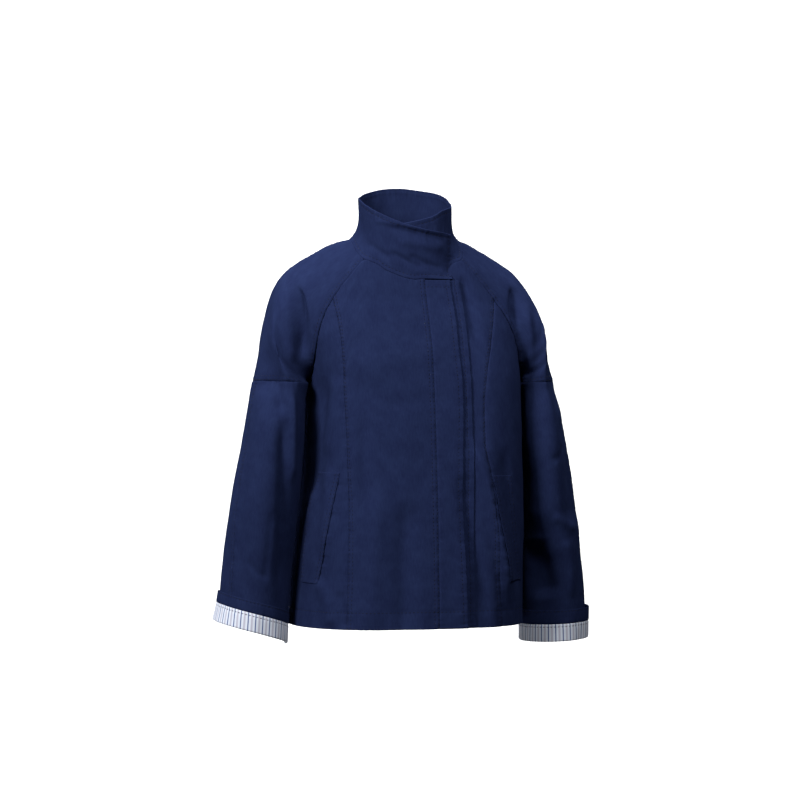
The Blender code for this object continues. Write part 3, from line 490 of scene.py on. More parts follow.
@dataclass(frozen=True)
class SleeveForm:
    """A raglan sleeve: rows from the neck to its end, each round from the inner line and back to it.

    A place on it is a share, 0 to 1 down the upper part and 1 to 2 down the lower, and a turn, 0 to 1
    over the front and 1 to 2 over the back.
    """

    body: BodyForm
    side: int
    end_drop: float
    end_tilt: float
    stand_off: float
    folds: tuple[Fold, ...]
    arm_seam_tilt: float = 2.0
    start_climb: float = 0.3
    end_climb: float = 0.08
    clearance: float = 2.6
    turn_up_share: float = 0.116
    # share of the shoulder and over-arm line from the neck to the arm seam, x on the right and on
    # the left, y, z
    over_arm: Table = (
        (0.0, 87, 86, -8, 15), (0.08, 103, 101, 5, 11.5), (0.17, 123, 121, 17, 3),
        (0.25, 141, 142, 25, -7.5), (0.33, 159, 161, 29, -18), (0.42, 176, 178, 29, -30),
        (0.5, 190, 187, 24, -44), (0.58, 200, 191, 18, -61), (0.67, 207, 191, 12, -82),
        (0.75, 213, 193, 8, -106), (0.83, 220, 202, 5, -135), (0.92, 227, 220, 0, -168),
        (1.0, 235, 234, -4, -203),
    )
    # share down the upper sleeve, turn of the cloth out of the body's surface at the front seam on
    # the right and on the left, reach of the curve from that seam and from the over-arm line, then
    # the turn and the two reaches at the back
    upper_curves: Table = (
        (0.0, -50, -50, 25, 25, -25, 18, 18),
        (0.1, -28, -28, 28, 30, -12, 24, 22),
        (0.2, -10, -10, 34, 36, 0, 30, 26),
        (0.3, 8, 8, 40, 43, 10, 38, 32),
        (0.4, 22, 24, 48, 52, 22, 46, 40),
        (0.5, 38, 46, 58, 62, 38, 55, 50),
        (0.6, 58, 76, 70, 73, 58, 66, 61),
        (0.7, 84, 110, 82, 84, 84, 76, 72),
        (0.8, 115, 136, 92, 93, 115, 85, 82),
        (0.9, 148, 156, 101, 101, 148, 92, 90),
        (1.0, 180, 180, 107, 107, 180, 96, 96),
    )
    # share down the lower sleeve, inner and outer x on the right, inner and outer x on the left,
    # centre y, reach of the front and of the back
    lower_curves: Table = (
        (0.0, 151, 235, 171, 234, -2, 107, 96),
        (0.08, 159, 242, 174.5, 240, -8, 112, 93),
        (0.24, 162.5, 253.5, 178, 253, -17, 110, 90),
        (0.41, 167.5, 266, 180, 263.5, -20, 103, 86),
        (0.58, 174, 276.5, 183, 273, -17, 96, 82),
        (0.75, 180, 282.5, 186, 281, -12, 90, 79),
        (0.88, 184, 286.5, 188, 286, -9, 86, 77),
        (1.0, 186, 289.5, 188, 290.5, -7, 85, 77),
    )
    # share down the lower sleeve, how far round its front the outer seam lies
    outer_seam: Table = ((0.0, 0.923), (0.3, 0.9), (0.6, 0.85), (0.85, 0.8), (1.0, 0.79))

    def raglan_frame(self, table: Table, share: float) -> tuple[Array, Array, Array]:
        """A raglan seam's point, mirrored to the left, and the body's directions out and round there.

        Args:
            table: the front or the back raglan seam.
            share: the share of its length.

        Returns:
            The point, the direction out and the direction round.
        """
        angle, drop = self.body.raglan(table, self.side, np.array([share]))[0]
        mirror = np.array([self.side, 1.0, 1.0])
        step = 0.002 * self.side
        ahead = self.body.point(angle + step, drop) - self.body.point(angle - step, drop)
        around = (ahead * mirror)[:2]
        around = around / np.linalg.norm(around)
        return self.body.point(angle, drop) * mirror, np.array([around[1], -around[0]]), around

    def upper_row(self, share: float, turn: Array) -> Array:
        """One row round the upper sleeve, mirrored to the left.

        Args:
            share: how far down the upper sleeve.
            turn: the turns of its points.

        Returns:
            The points.
        """
        line = [2 if self.side > 0 else 1, 3, 4]
        over = np.array([float(smooth_lookup(self.over_arm, column, share)) for column in line])
        front_turn = 2 if self.side > 0 else 1
        columns = (front_turn, *range(3, 8))
        curves = [float(smooth_lookup(self.upper_curves, column, share)) for column in columns]
        halves = []
        for table, sign, (angle, reach, top_reach) in (
            (self.body.raglan_front, 1, curves[:3]),
            (self.body.raglan_back, -1, curves[3:]),
        ):
            seam, outward, around = self.raglan_frame(table, share)
            angle = math.radians(angle)
            away = math.cos(angle) * sign * around + math.sin(angle) * outward
            climb = over[2] - seam[2]
            start = np.array([away[0] * reach, away[1] * reach, climb * self.start_climb])
            end = np.array([0.0, -sign * top_reach, -climb * self.end_climb])
            halves.append(quarter_curve(seam, start, end, over, np.minimum(turn, 2 - turn)))
        return np.where((turn <= 1)[:, None], halves[0], halves[1])

    def lower_row(self, share: float, turn: Array) -> Array:
        """One row round the lower sleeve, mirrored to the left.

        Args:
            share: how far down the lower sleeve.
            turn: the turns of its points.

        Returns:
            The points.
        """
        columns = [3, 4, 5, 6, 7] if self.side > 0 else [1, 2, 5, 6, 7]
        inner, outer, centre, front, back = [
            float(smooth_lookup(self.lower_curves, column, share)) for column in columns
        ]
        start_drop = (self.body.armpit_drop - self.over_arm[-1][4]) / 2
        drop = start_drop + (self.end_drop - start_drop) * share
        tilt = self.arm_seam_tilt + (self.end_tilt - self.arm_seam_tilt) * smooth_step(share * 1.15 - 0.15)
        blend = min(share / self.lower_curves[1][0], 1.0)
        seam = np.array([inner, centre * blend, -drop - tilt])
        over = np.array([outer, self.over_arm[-1][3] * (1 - blend) + centre * blend, -drop + tilt])
        climb = over[2] - seam[2]
        halves = []
        for sign, reach in ((-1, front), (1, back)):
            start = np.array([0.0, sign * reach, climb * self.start_climb])
            end = np.array([0.0, sign * reach, -climb * self.end_climb])
            halves.append(quarter_curve(seam, start, end, over, np.minimum(turn, 2 - turn)))
        return np.where((turn <= 1)[:, None], halves[0], halves[1])

    def clear_of_body(self, points: Array, clearance: Array) -> Array:
        """Sleeve points below the armpit moved out until they clear the side of the body.

        Args:
            points: the points, mirrored to the left.
            clearance: the gap that is left.

        Returns:
            The points, clear of the body.
        """
        drop = -points[..., 2]
        half, depth, power = self.body.ring(drop, self.side > 0, points[..., 1] < 0)
        share = np.clip(np.abs(points[..., 1]) / depth, 0.0, 0.98)
        side_x = half * (1 - share**power) ** (1 / power) + clearance
        below = smooth_step((drop - self.body.armpit_drop) / 12.0)
        short = np.maximum(side_x - points[..., 0], 0.0) * below
        return points + short[..., None] * np.array([1.0, 0.0, 0.0])

    def points(self, shares: Array, turns: Array, level: float = 0.0, stand_off: float = 0.0) -> Array:
        """Points of the sleeve's surface, folds and all.

        Args:
            shares: the share of each row.
            turns: the turns, one row of them for each share.
            level: how far the points are moved out, in millimetres.
            stand_off: how far a turn-up's top stands off the outside.

        Returns:
            The points, rows by columns.
        """
        rows, ways = [], []
        for share, turn in zip(map(float, shares), turns):
            row = self.upper_row if share <= 1 else self.lower_row
            place = share if share <= 1 else share - 1
            rows.append(row(place, turn))
            ways.append(row(place, np.minimum(turn + 0.01, 2)) - row(place, np.maximum(turn - 0.01, 0)))
        points, across = np.array(rows), np.array(ways)
        closed = np.asarray(shares)[:, None] >= 1
        at_join = closed & ((turns < 0.005) | (turns > 1.995))
        across = np.where(at_join[..., None], np.array([0.0, -1.0, 0.0]), across)
        level_out = unit(np.stack([across[..., 1], -across[..., 0], 0 * across[..., 0]], axis=-1))
        rise = np.zeros(points.shape[:2])
        for fold in self.folds:
            rise += fold.lift(points[..., 0], -points[..., 2]) * face_weight(fold.face, level_out[..., 1])
        rise += unevenness(points[..., 0] + points[..., 1], -points[..., 2], 2.0 + self.side)
        around = turns / 2
        rise *= smooth_step(np.minimum(around, 1 - around) / 0.07)
        outside = smooth_step(1 - np.abs(around - 0.5) / 0.3)
        up_from_end = np.clip((2 - np.asarray(shares)[:, None]) / self.turn_up_share, 0.0, 1.0)
        rise += level + stand_off * outside * up_from_end
        points = points + level_out * rise[..., None]
        return self.clear_of_body(points, self.clearance - level) * np.array([self.side, 1.0, 1.0])

    def outer_place(self, share: float) -> float:
        """The turn at which the outer seam lies, at this share."""
        return float(smooth_lookup(self.outer_seam, 1, max(share - 1, 0.0)))


RIGHT_FOLDS = folds_of(
    Face.FRONT,
    (
        (183, 42, 173, 106, 161, 172, 8, 12, -16.0),
        (196, 62, 190, 120, 184, 180, 9, 9, 5.0),
        (231, 112, 218, 190, 207, 262, 12, 14, -11.0),
        (206, 250, 202, 380, 198, 545, 15, 11, -10.0),
        (189, 215, 188, 290, 187, 360, 5, 5, 5.0),
        (232, 140, 239, 340, 236, 545, 20, 17, 5.0),
        (222, 395, 226, 450, 232, 510, 5, 5, -1.6),
        (256, 470, 240, 492, 224, 500, 5, 5, -1.4),
        (205, 188, 220, 205, 244, 214, 8, 8, -3.0),
    ),
) + folds_of(
    Face.BACK,
    (
        (175, 70, 182, 140, 185, 220, 14, 14, -11.0),
        (215, 130, 209, 240, 203, 400, 13, 13, -8.0),
        (238, 300, 232, 420, 236, 540, 16, 16, 5.0),
        (246, 262, 226, 280, 204, 276, 9, 6, -4.0),
        (244, 300, 224, 318, 206, 322, 8, 6, -3.0),
    ),
)

LEFT_FOLDS = folds_of(
    Face.FRONT,
    (
        (175, 50, 159, 112, 163, 168, 10, 10, -15.0),
        (176, 82, 184, 180, 190, 360, 8, 9, 7.0),
        (190, 215, 194, 340, 198, 440, 12, 24, 8.0),
        (218, 110, 222, 190, 232, 260, 14, 14, -6.0),
        (246, 240, 250, 350, 254, 430, 22, 20, -9.0),
        (214, 410, 234, 420, 256, 432, 7, 8, 3.2),
        (182, 452, 200, 486, 214, 540, 18, 18, -10.0),
        (236, 446, 246, 480, 250, 540, 9, 9, 4.0),
        (236, 300, 226, 318, 208, 326, 6, 6, -2.2),
    ),
) + folds_of(
    Face.BACK,
    (
        (178, 60, 180, 130, 182, 210, 14, 14, -11.0),
        (222, 120, 216, 250, 212, 380, 13, 13, -8.0),
        (240, 330, 236, 440, 240, 560, 16, 16, 5.0),
        (248, 256, 228, 272, 208, 268, 9, 6, -3.6),
        (250, 292, 230, 312, 210, 314, 8, 6, -3.4),
    ),
)


@dataclass(frozen=True)
class Seam:
    """An edge, hem or seam that draws in the cloth beside it, with rows of stitches alongside.

    Points is its line in millimetres, roll how deep the cloth dips there, pucker how far it ripples,
    reach how wide the ripples run, and seed shifts the ripples along it.
    """

    points: Array
    roll: float = 0.7
    pucker: float = 0.22
    reach: float = 9.0
    seed: float = 0.0
    dip: float = 1.7

    def near(self, places: Array) -> tuple[Array, Array]:
        """Distance of each place from the seam, and how far along the seam it lies.

        Args:
            places: the places, by rows and columns.

        Returns:
            The distances and the lengths along the seam.
        """
        flat = places.reshape(-1, 3)
        line, run = self.points, run_of(self.points)
        distance, along = np.empty(len(flat)), np.empty(len(flat))
        steps = np.diff(line, axis=0)
        squares = np.maximum((steps**2).sum(axis=1), 1e-9)
        for first in range(0, len(flat), 4096):
            part = flat[first : first + 4096]
            gaps = ((part[:, None] - line[None]) ** 2).sum(axis=2)
            nearest = gaps.argmin(axis=1)
            best = np.sqrt(gaps[np.arange(len(part)), nearest])
            where = run[nearest]
            for offset in (-1, 0):
                index = np.clip(nearest + offset, 0, len(steps) - 1)
                t = ((part - line[index]) * steps[index]).sum(axis=1) / squares[index]
                t = np.clip(t, 0.0, 1.0)
                away = np.linalg.norm(part - line[index] - steps[index] * t[:, None], axis=1)
                closer = away < best
                best = np.where(closer, away, best)
                where = np.where(closer, run[index] + t * np.sqrt(squares[index]), where)
            distance[first : first + 4096] = best
            along[first : first + 4096] = where
        return distance.reshape(places.shape[:-1]), along.reshape(places.shape[:-1])

    def rise(self, places: Array) -> Array:
        """How far the seam moves the cloth out at these places, less than 0 where it dips.

        Args:
            places: the places, by rows and columns.

        Returns:
            The rise in millimetres.
        """
        distance, along = self.near(places)
        wave = np.sin(math.tau * along / 9.3 + self.seed) * (
            0.7 + 0.5 * np.sin(math.tau * along / 41.0 + 2.1 * self.seed)
        )
        wave += 0.5 * np.sin(math.tau * along / 6.1 + 1.7 * self.seed)
        wave += 0.9 * np.sin(math.tau * along / 23.0 + 0.6 * self.seed)
        beside = np.exp(-((distance / self.reach) ** 2))
        return self.pucker * wave * beside - self.roll * np.exp(-((distance / self.dip) ** 2))


def srgb(hex_colour: str) -> tuple[float, float, float, float]:
    """A colour of six hex digits as linear red, green, blue and alpha.

    Args:
        hex_colour: the colour, such as #19203D.

    Returns:
        The four linear values.
    """
    values = [int(hex_colour[i : i + 2], 16) / 255 for i in (1, 3, 5)]
    linear = [v / 12.92 if v <= 0.04045 else ((v + 0.055) / 1.055) ** 2.4 for v in values]
    return (linear[0], linear[1], linear[2], 1.0)


def add_node(tree: bpy.types.NodeTree, kind: str, settings: dict, links: dict) -> bpy.types.Node:
    """Adds a node to a material's tree.

    Args:
        tree: the tree.
        kind: the node's type name.
        settings: attributes by name, or input values by number or by input name.
        links: the output socket that feeds each input, by number or name.

    Returns:
        The node.
    """
    node = tree.nodes.new(kind)
    for name, value in settings.items():
        if isinstance(name, str) and hasattr(node, name):
            setattr(node, name, value)
        else:
            node.inputs[name].default_value = value
    for name, socket in links.items():
        tree.links.new(socket, node.inputs[name])
    return node


def new_material(name: str) -> tuple[bpy.types.Material, bpy.types.NodeTree, bpy.types.Node]:
    """A material with its tree and its shader node.

    Args:
        name: the material's name.

    Returns:
        The material, its tree and its shader.
    """
    material = bpy.data.materials.new(name)
    material.use_nodes = True
    tree = material.node_tree
    return material, tree, tree.nodes["Principled BSDF"]


@dataclass(frozen=True)
class CottonTwill:
    """Washed navy cotton twill, dyed after weaving: matt, with a faint bloom and worn-in unevenness.

    The weave's diagonal is under a millimetre apart, so at a distance only a fine grain shows, and
    the dye lies slightly uneven along the warp.
    """

    name: str = "washed cotton twill, navy"
    deep: str = "#19203D"
    light: str = "#1F2847"
    roughness: float = 0.86
    twill_pitch: float = 0.9
    slub_width: float = 2.2
    slubs_along: float = 90.0
    relief: float = 0.35

    def build(self) -> bpy.types.Material:
        """Makes the material."""
        material, tree, shader = new_material(self.name)
        cloth = add_node(tree, "ShaderNodeUVMap", {"uv_map": "cloth"}, {}).outputs["UV"]
        along_warp = (1 / (self.slub_width * MM), self.slubs_along, 1.0)
        warp = add_node(tree, "ShaderNodeMapping", {"Scale": along_warp}, {"Vector": cloth})
        slub = add_node(
            tree,
            "ShaderNodeTexNoise",
            {"Scale": 1.0, "Detail": 3.0, "Roughness": 0.6},
            {"Vector": warp.outputs[0]},
        )
        wash = add_node(
            tree, "ShaderNodeTexNoise", {"Scale": 42.0, "Detail": 4.0, "Roughness": 0.55}, {"Vector": cloth}
        )
        mixed = add_node(
            tree, "ShaderNodeMath", {"operation": "ADD"}, {0: slub.outputs[0], 1: wash.outputs[0]}
        )
        shade = add_node(
            tree,
            "ShaderNodeMapRange",
            {"From Min": 0.7, "From Max": 1.3, "To Min": 0.0, "To Max": 1.0},
            {"Value": mixed.outputs[0]},
        )
        colour = add_node(
            tree,
            "ShaderNodeMix",
            {"data_type": "RGBA", 6: srgb(self.deep), 7: srgb(self.light)},
            {0: shade.outputs[0]},
        )
        tree.links.new(colour.outputs[2], shader.inputs["Base Color"])
        twill = add_node(
            tree,
            "ShaderNodeTexWave",
            {"bands_direction": "DIAGONAL", "Scale": 0.31 / (self.twill_pitch * MM), "Distortion": 1.5,
             "Detail": 1.0, "Detail Scale": 2.0},
            {"Vector": cloth},
        )
        grain = add_node(
            tree, "ShaderNodeMath", {"operation": "ADD"}, {0: twill.outputs[1], 1: slub.outputs[0]}
        )
        bump = add_node(
            tree,
            "ShaderNodeBump",
            {"Strength": self.relief, "Distance": 0.00012},
            {"Height": grain.outputs[0]},
        )
        tree.links.new(bump.outputs[0], shader.inputs["Normal"])
        shader.inputs["Roughness"].default_value = self.roughness
        shader.inputs["Specular IOR Level"].default_value = 0.0
        shader.inputs["Sheen Weight"].default_value = 0.03
        shader.inputs["Sheen Roughness"].default_value = 0.5
        shader.inputs["Sheen Tint"].default_value = srgb("#5F70A8")
        return material


@dataclass(frozen=True)
class StripedPoplin:
    """Woven striped cotton poplin: a smooth pale grey ground, fine blue lines and softer mauve ones."""

    name: str = "striped cotton poplin"
    ground: str = "#D5DCE8"
    blue: str = "#3E4F86"
    mauve: str = "#A9A4B6"
    repeat: float = 11.6
    blue_width: float = 1.7
    mauve_width: float = 3.0

    def line(
        self, tree: bpy.types.NodeTree, across: bpy.types.NodeSocket, width: float, shift: float
    ) -> bpy.types.NodeSocket:
        """How much of one line of the repeat shows across the cloth.

        Args:
            tree: the material's tree.
            across: the distance across the cloth, in metres.
            width: the line's width in millimetres.
            shift: where the line lies in the repeat, from 0 to 1.

        Returns:
            A socket of 1 on the line and 0 off it.
        """
        turns = add_node(
            tree,
            "ShaderNodeMath",
            {"operation": "MULTIPLY_ADD", 1: 1 / (self.repeat * MM), 2: shift},
            {0: across},
        )
        within = add_node(tree, "ShaderNodeMath", {"operation": "FRACT"}, {0: turns.outputs[0]})
        centred = add_node(tree, "ShaderNodeMath", {"operation": "SUBTRACT", 1: 0.5}, {0: within.outputs[0]})
        away = add_node(tree, "ShaderNodeMath", {"operation": "ABSOLUTE"}, {0: centred.outputs[0]})
        half = width / self.repeat / 2
        shown = add_node(
            tree,
            "ShaderNodeMapRange",
            {"From Min": half * 0.55, "From Max": half * 1.45, "To Min": 1.0, "To Max": 0.0},
            {"Value": away.outputs[0]},
        )
        return shown.outputs[0]

    def build(self) -> bpy.types.Material:
        """Makes the material."""
        material, tree, shader = new_material(self.name)
        cloth = add_node(tree, "ShaderNodeUVMap", {"uv_map": "cloth"}, {}).outputs["UV"]
        split = add_node(tree, "ShaderNodeSeparateXYZ", {}, {0: cloth})
        mauve = self.line(tree, split.outputs[0], self.mauve_width, 0.0)
        blue = self.line(tree, split.outputs[0], self.blue_width, 0.5)
        soft = add_node(tree, "ShaderNodeMath", {"operation": "MULTIPLY", 1: 0.75}, {0: mauve})
        first = add_node(
            tree,
            "ShaderNodeMix",
            {"data_type": "RGBA", 6: srgb(self.ground), 7: srgb(self.mauve)},
            {0: soft.outputs[0]},
        )
        second = add_node(
            tree, "ShaderNodeMix", {"data_type": "RGBA", 7: srgb(self.blue)}, {0: blue, 6: first.outputs[2]}
        )
        tree.links.new(second.outputs[2], shader.inputs["Base Color"])
        weave = add_node(tree, "ShaderNodeTexNoise", {"Scale": 900.0, "Detail": 2.0}, {"Vector": cloth})
        bump = add_node(
            tree, "ShaderNodeBump", {"Strength": 0.2, "Distance": 0.0001}, {"Height": weave.outputs[0]}
        )
        tree.links.new(bump.outputs[0], shader.inputs["Normal"])
        shader.inputs["Roughness"].default_value = 0.8
        shader.inputs["Specular IOR Level"].default_value = 0.25
        return material


@dataclass(frozen=True)
class PlainFinish:
    """One even finish: sewing thread, with the slight gloss of spun polyester, or backdrop paper."""

    name: str
    colour: str
    roughness: float

    def build(self) -> bpy.types.Material:
        """Makes the material."""
        material, _, shader = new_material(self.name)
        shader.inputs["Base Color"].default_value = srgb(self.colour)
        shader.inputs["Roughness"].default_value = self.roughness
        shader.inputs["Specular IOR Level"].default_value = 0.2
        return material


class Border(Enum):
    """The four borders of a panel's grid, whose rows run down it and columns across it."""

    TOP = "top"
    BOTTOM = "bottom"
    FIRST = "first"
    LAST = "last"


@dataclass(frozen=True)
class Cloth:
    """One cut panel: its outer points by rows and columns, and the rows of stitches on it.

    Closed panels go all the way round, and mirrored ones have columns that run the other way.
    """

    points: Array
    closed: bool = False
    mirrored: bool = False

    def normals(self) -> Array:
        """The outward direction at each point.

        Returns:
            The directions, at length 1.
        """
        down = np.gradient(self.points, axis=0)
        across = np.gradient(self.points, axis=1)
        if self.closed:
            across = np.roll(self.points, -1, axis=1) - np.roll(self.points, 1, axis=1)
        return unit(np.cross(down, across)) * (-1.0 if self.mirrored else 1.0)

    def sewn(self, seams: Sequence[Seam]) -> Cloth:
        """This panel drawn in and puckered by the seams beside it."""
        rise = sum(seam.rise(self.points) for seam in seams)
        return replace(self, points=self.points + self.normals() * rise[..., None])

    def quilted(self, stitch_lines: Sequence[tuple[Border, float]]) -> Cloth:
        """This panel pulled in along its rows of stitches, each given as a border and a distance.

        Args:
            stitch_lines: the border and the distance of each row.

        Returns:
            The panel, pulled in.
        """
        seed = float(len(self.points))
        dips = [
            Seam(line, roll=0.5, pucker=0.16, reach=3.0, seed=seed + distance, dip=1.3)
            for line, distance in (
                (self.line_in(border, distance)[0], distance) for border, distance in stitch_lines
            )
        ]
        return self.sewn(dips)

    def drawn_in(self, borders: Sequence[Border], gap: float = 0.16) -> Cloth:
        """This panel with its sewn borders moved in, clear of the panel that they meet.

        Args:
            borders: the sewn borders.
            gap: how far they are moved.

        Returns:
            The panel, drawn in.
        """
        points = self.points.copy()
        ends = {
            Border.TOP: (np.s_[0], np.s_[1]),
            Border.BOTTOM: (np.s_[-1], np.s_[-2]),
            Border.FIRST: (np.s_[:, 0], np.s_[:, 1]),
            Border.LAST: (np.s_[:, -1], np.s_[:, -2]),
        }
        for border in borders:
            edge, inner = ends[border]
            points[edge] = points[edge] + unit(points[inner] - points[edge]) * gap
        return replace(self, points=points)

    def line_in(self, border: Border, distance: float) -> Surface:
        """Points and normals along the line that lies this many millimetres in from a border.

        Args:
            border: the border.
            distance: how far in from it.

        Returns:
            The points and the outward directions.
        """
        points, normals = self.points, self.normals()
        if border in (Border.TOP, Border.BOTTOM):
            points, normals = points.swapaxes(0, 1), normals.swapaxes(0, 1)
        if border in (Border.BOTTOM, Border.LAST):
            points, normals = points[:, ::-1], normals[:, ::-1]
        found = []
        for line, facing in zip(points, normals):
            place = np.interp(distance, run_of(line), np.arange(len(line)))
            index = min(int(place), len(line) - 2)
            part = place - index
            point = line[index] * (1 - part) + line[index + 1] * part
            found.append((point, facing[index] * (1 - part) + facing[index + 1] * part))
        on_line = np.array(found)
        if self.closed:
            on_line = np.concatenate([on_line, on_line[:1]])
        return on_line[:, 0], unit(on_line[:, 1])

    def size(self) -> tuple[float, float, float]:
        """The panel's greatest width and length along the cloth, and its area, in metres.

        Returns:
            The width, the length and the area.
        """
        points = self.points
        if self.closed:
            points = np.concatenate([points, points[:, :1]], axis=1)
        down, across = np.diff(points, axis=0), np.diff(points, axis=1)
        area = np.linalg.norm(np.cross(down[:, 1:], across[1:]), axis=-1).sum()
        width = np.linalg.norm(across, axis=-1).sum(axis=1).max()
        length = np.linalg.norm(down, axis=-1).sum(axis=0).max()
        return width * MM, length * MM, area * MM * MM

    def cloth_map(self) -> Array:
        """Distance across and down the cloth at each point, in metres, with the closing column.

        Returns:
            The two distances at each point.
        """
        points = self.points
        if self.closed:
            points = np.concatenate([points, points[:, :1]], axis=1)
        across = run_of(points[len(points) // 2]) * MM
        down = run_of(points[:, points.shape[1] // 2]) * MM
        return np.stack(np.broadcast_arrays(across[None, :], down[:, None]), axis=-1)

    def wall(self, name: str, thickness: float, material: bpy.types.Material) -> bpy.types.Object:
        """Makes the panel as a thin wall whose free edges are folded round.

        Args:
            name: the new object's name.
            thickness: the cloth's thickness in millimetres.
            material: its finish.

        Returns:
            The object.
        """
        rows, columns = self.points.shape[:2]
        spans = columns if self.closed else columns - 1
        count = rows * columns
        inner = self.points - self.normals() * thickness
        grids = np.meshgrid(np.arange(rows - 1), np.arange(spans), indexing="ij")
        row, column = [grid.ravel() for grid in grids]
        places = np.stack(
            [np.stack([row + a, column + b], axis=-1) for a, b in ((0, 0), (1, 0), (1, 1), (0, 1))], axis=1
        )
        outside = places[..., 0] * columns + places[..., 1] % columns
        top = [(0, c) for c in range(spans + 1)]
        bottom = [(rows - 1, c) for c in range(spans, -1, -1)]
        loops = [top, bottom]
        if not self.closed:
            right = [(r, columns - 1) for r in range(1, rows)]
            left = [(r, 0) for r in range(rows - 2, -1, -1)]
            loops = [top + right + bottom[1:] + left]
        faces, corners = [outside, (outside + count)[:, ::-1]], [places, places[:, ::-1]]
        middle = []
        for loop in loops:
            line = np.array(loop)
            at = line[:, 0] * columns + line[:, 1] % columns
            behind = np.clip(line[:, 0], 1, rows - 2) * columns
            behind += (line[:, 1] if self.closed else np.clip(line[:, 1], 1, columns - 2)) % columns
            flat = self.points.reshape(-1, 3)
            outwards = unit(flat[at] - flat[behind])
            fold = (flat[at] + inner.reshape(-1, 3)[at]) / 2 + outwards * thickness * 0.4
            first = 2 * count + sum(len(part) for part in middle)
            middle.append(fold)
            here, ahead = np.arange(len(line) - 1), np.arange(1, len(line))
            pair = line[here], line[ahead]
            for face in (
                (at[here], at[ahead], first + ahead, first + here),
                (first + here, first + ahead, at[ahead] + count, at[here] + count),
            ):
                faces.append(np.stack(face, axis=1))
                corners.append(np.stack([pair[0], pair[1], pair[1], pair[0]], axis=1))
        faces, corners = np.concatenate(faces), np.concatenate(corners)
        if self.mirrored:
            faces, corners = faces[:, ::-1], corners[:, ::-1]
        points = np.concatenate([self.points.reshape(-1, 3), inner.reshape(-1, 3), *middle]) * MM
        mesh = bpy.data.meshes.new(name)
        mesh.from_pydata(points.tolist(), [], faces.tolist())
        mesh.update()
        flat_map = self.cloth_map()[corners[..., 0], corners[..., 1]]
        mesh.uv_layers.new(name="cloth").data.foreach_set("uv", flat_map.ravel())
        mesh.shade_smooth()
        mesh.materials.append(material)
        piece = bpy.data.objects.new(name, mesh)
        bpy.context.scene.collection.objects.link(piece)
        return piece


@dataclass(frozen=True)
class Stitching:
    """Rows of lockstitch in sewing thread: short raised dashes that sink into the cloth at each end.

    Real stitches are about 3 mm apart, too fine to show at this size, so they are drawn twice that.
    """

    pitch: float = 5.8
    length: float = 3.2
    width: float = 1.15
    height: float = 0.42
    sunk: float = 0.2

    def row(self, line: Surface) -> tuple[Array, Array]:
        """Corner points and faces of the stitches along one line of points and normals.

        Args:
            line: the line's points and outward directions.

        Returns:
            The corners and the faces.
        """
        points, normals = line
        run = run_of(points)
        count = max(int(run[-1] / self.pitch), 1)
        middle = (np.arange(count) + 0.5) * run[-1] / count
        half = self.length / 2

        def on_line(values: Array, at: Array) -> Array:
            """The line's values at these lengths along it."""
            return np.stack([np.interp(at, run, values[:, axis]) for axis in range(3)], axis=-1)

        start, end = on_line(points, middle - half), on_line(points, middle + half)
        out = unit(on_line(normals, middle))
        along = unit(end - start)
        aside = unit(np.cross(along, out))
        centre = on_line(points, middle)
        shape = []
        for step, spread_out, height in (
            (-half, 0.5, -self.sunk), (0.0, 1.0, 0.0), (half, 0.5, -self.sunk),
        ):
            for across, up in ((-1, 0.1), (0, 1.0), (1, 0.1), (0, -0.6)):
                shape.append((step, across * spread_out * self.width / 2, height + up * self.height))
        shape = np.array(shape)
        frame = np.stack([along, aside, out], axis=1)
        corners = centre[:, None] + np.einsum("kc,ncd->nkd", shape, frame)
        ring = []
        for section in (0, 4):
            for k in range(4):
                after = (k + 1) % 4
                ring.append((section + k, section + after, section + 4 + after, section + 4 + k))
        ring += [(3, 2, 1, 0), (8, 9, 10, 11)]
        faces = np.array(ring)[None] + (np.arange(count) * len(shape))[:, None, None]
        return corners.reshape(-1, 3), faces.reshape(-1, 4)

    def build(self, name: str, lines: Sequence[Surface], material: bpy.types.Material) -> bpy.types.Object:
        """Makes one object of all the stitches on a panel.

        Args:
            name: the new object's name.
            lines: the lines of the rows.
            material: the thread.

        Returns:
            The object.
        """
        corners, faces, first = [], [], 0
        for line in lines:
            points, quads = self.row(line)
            corners.append(points)
            faces.append(quads + first)
            first += len(points)
        mesh = bpy.data.meshes.new(name)
        mesh.from_pydata((np.concatenate(corners) * MM).tolist(), [], np.concatenate(faces).tolist())
        mesh.update()
        mesh.shade_smooth()
        mesh.materials.append(material)
        piece = bpy.data.objects.new(name, mesh)
        bpy.context.scene.collection.objects.link(piece)
        return piece


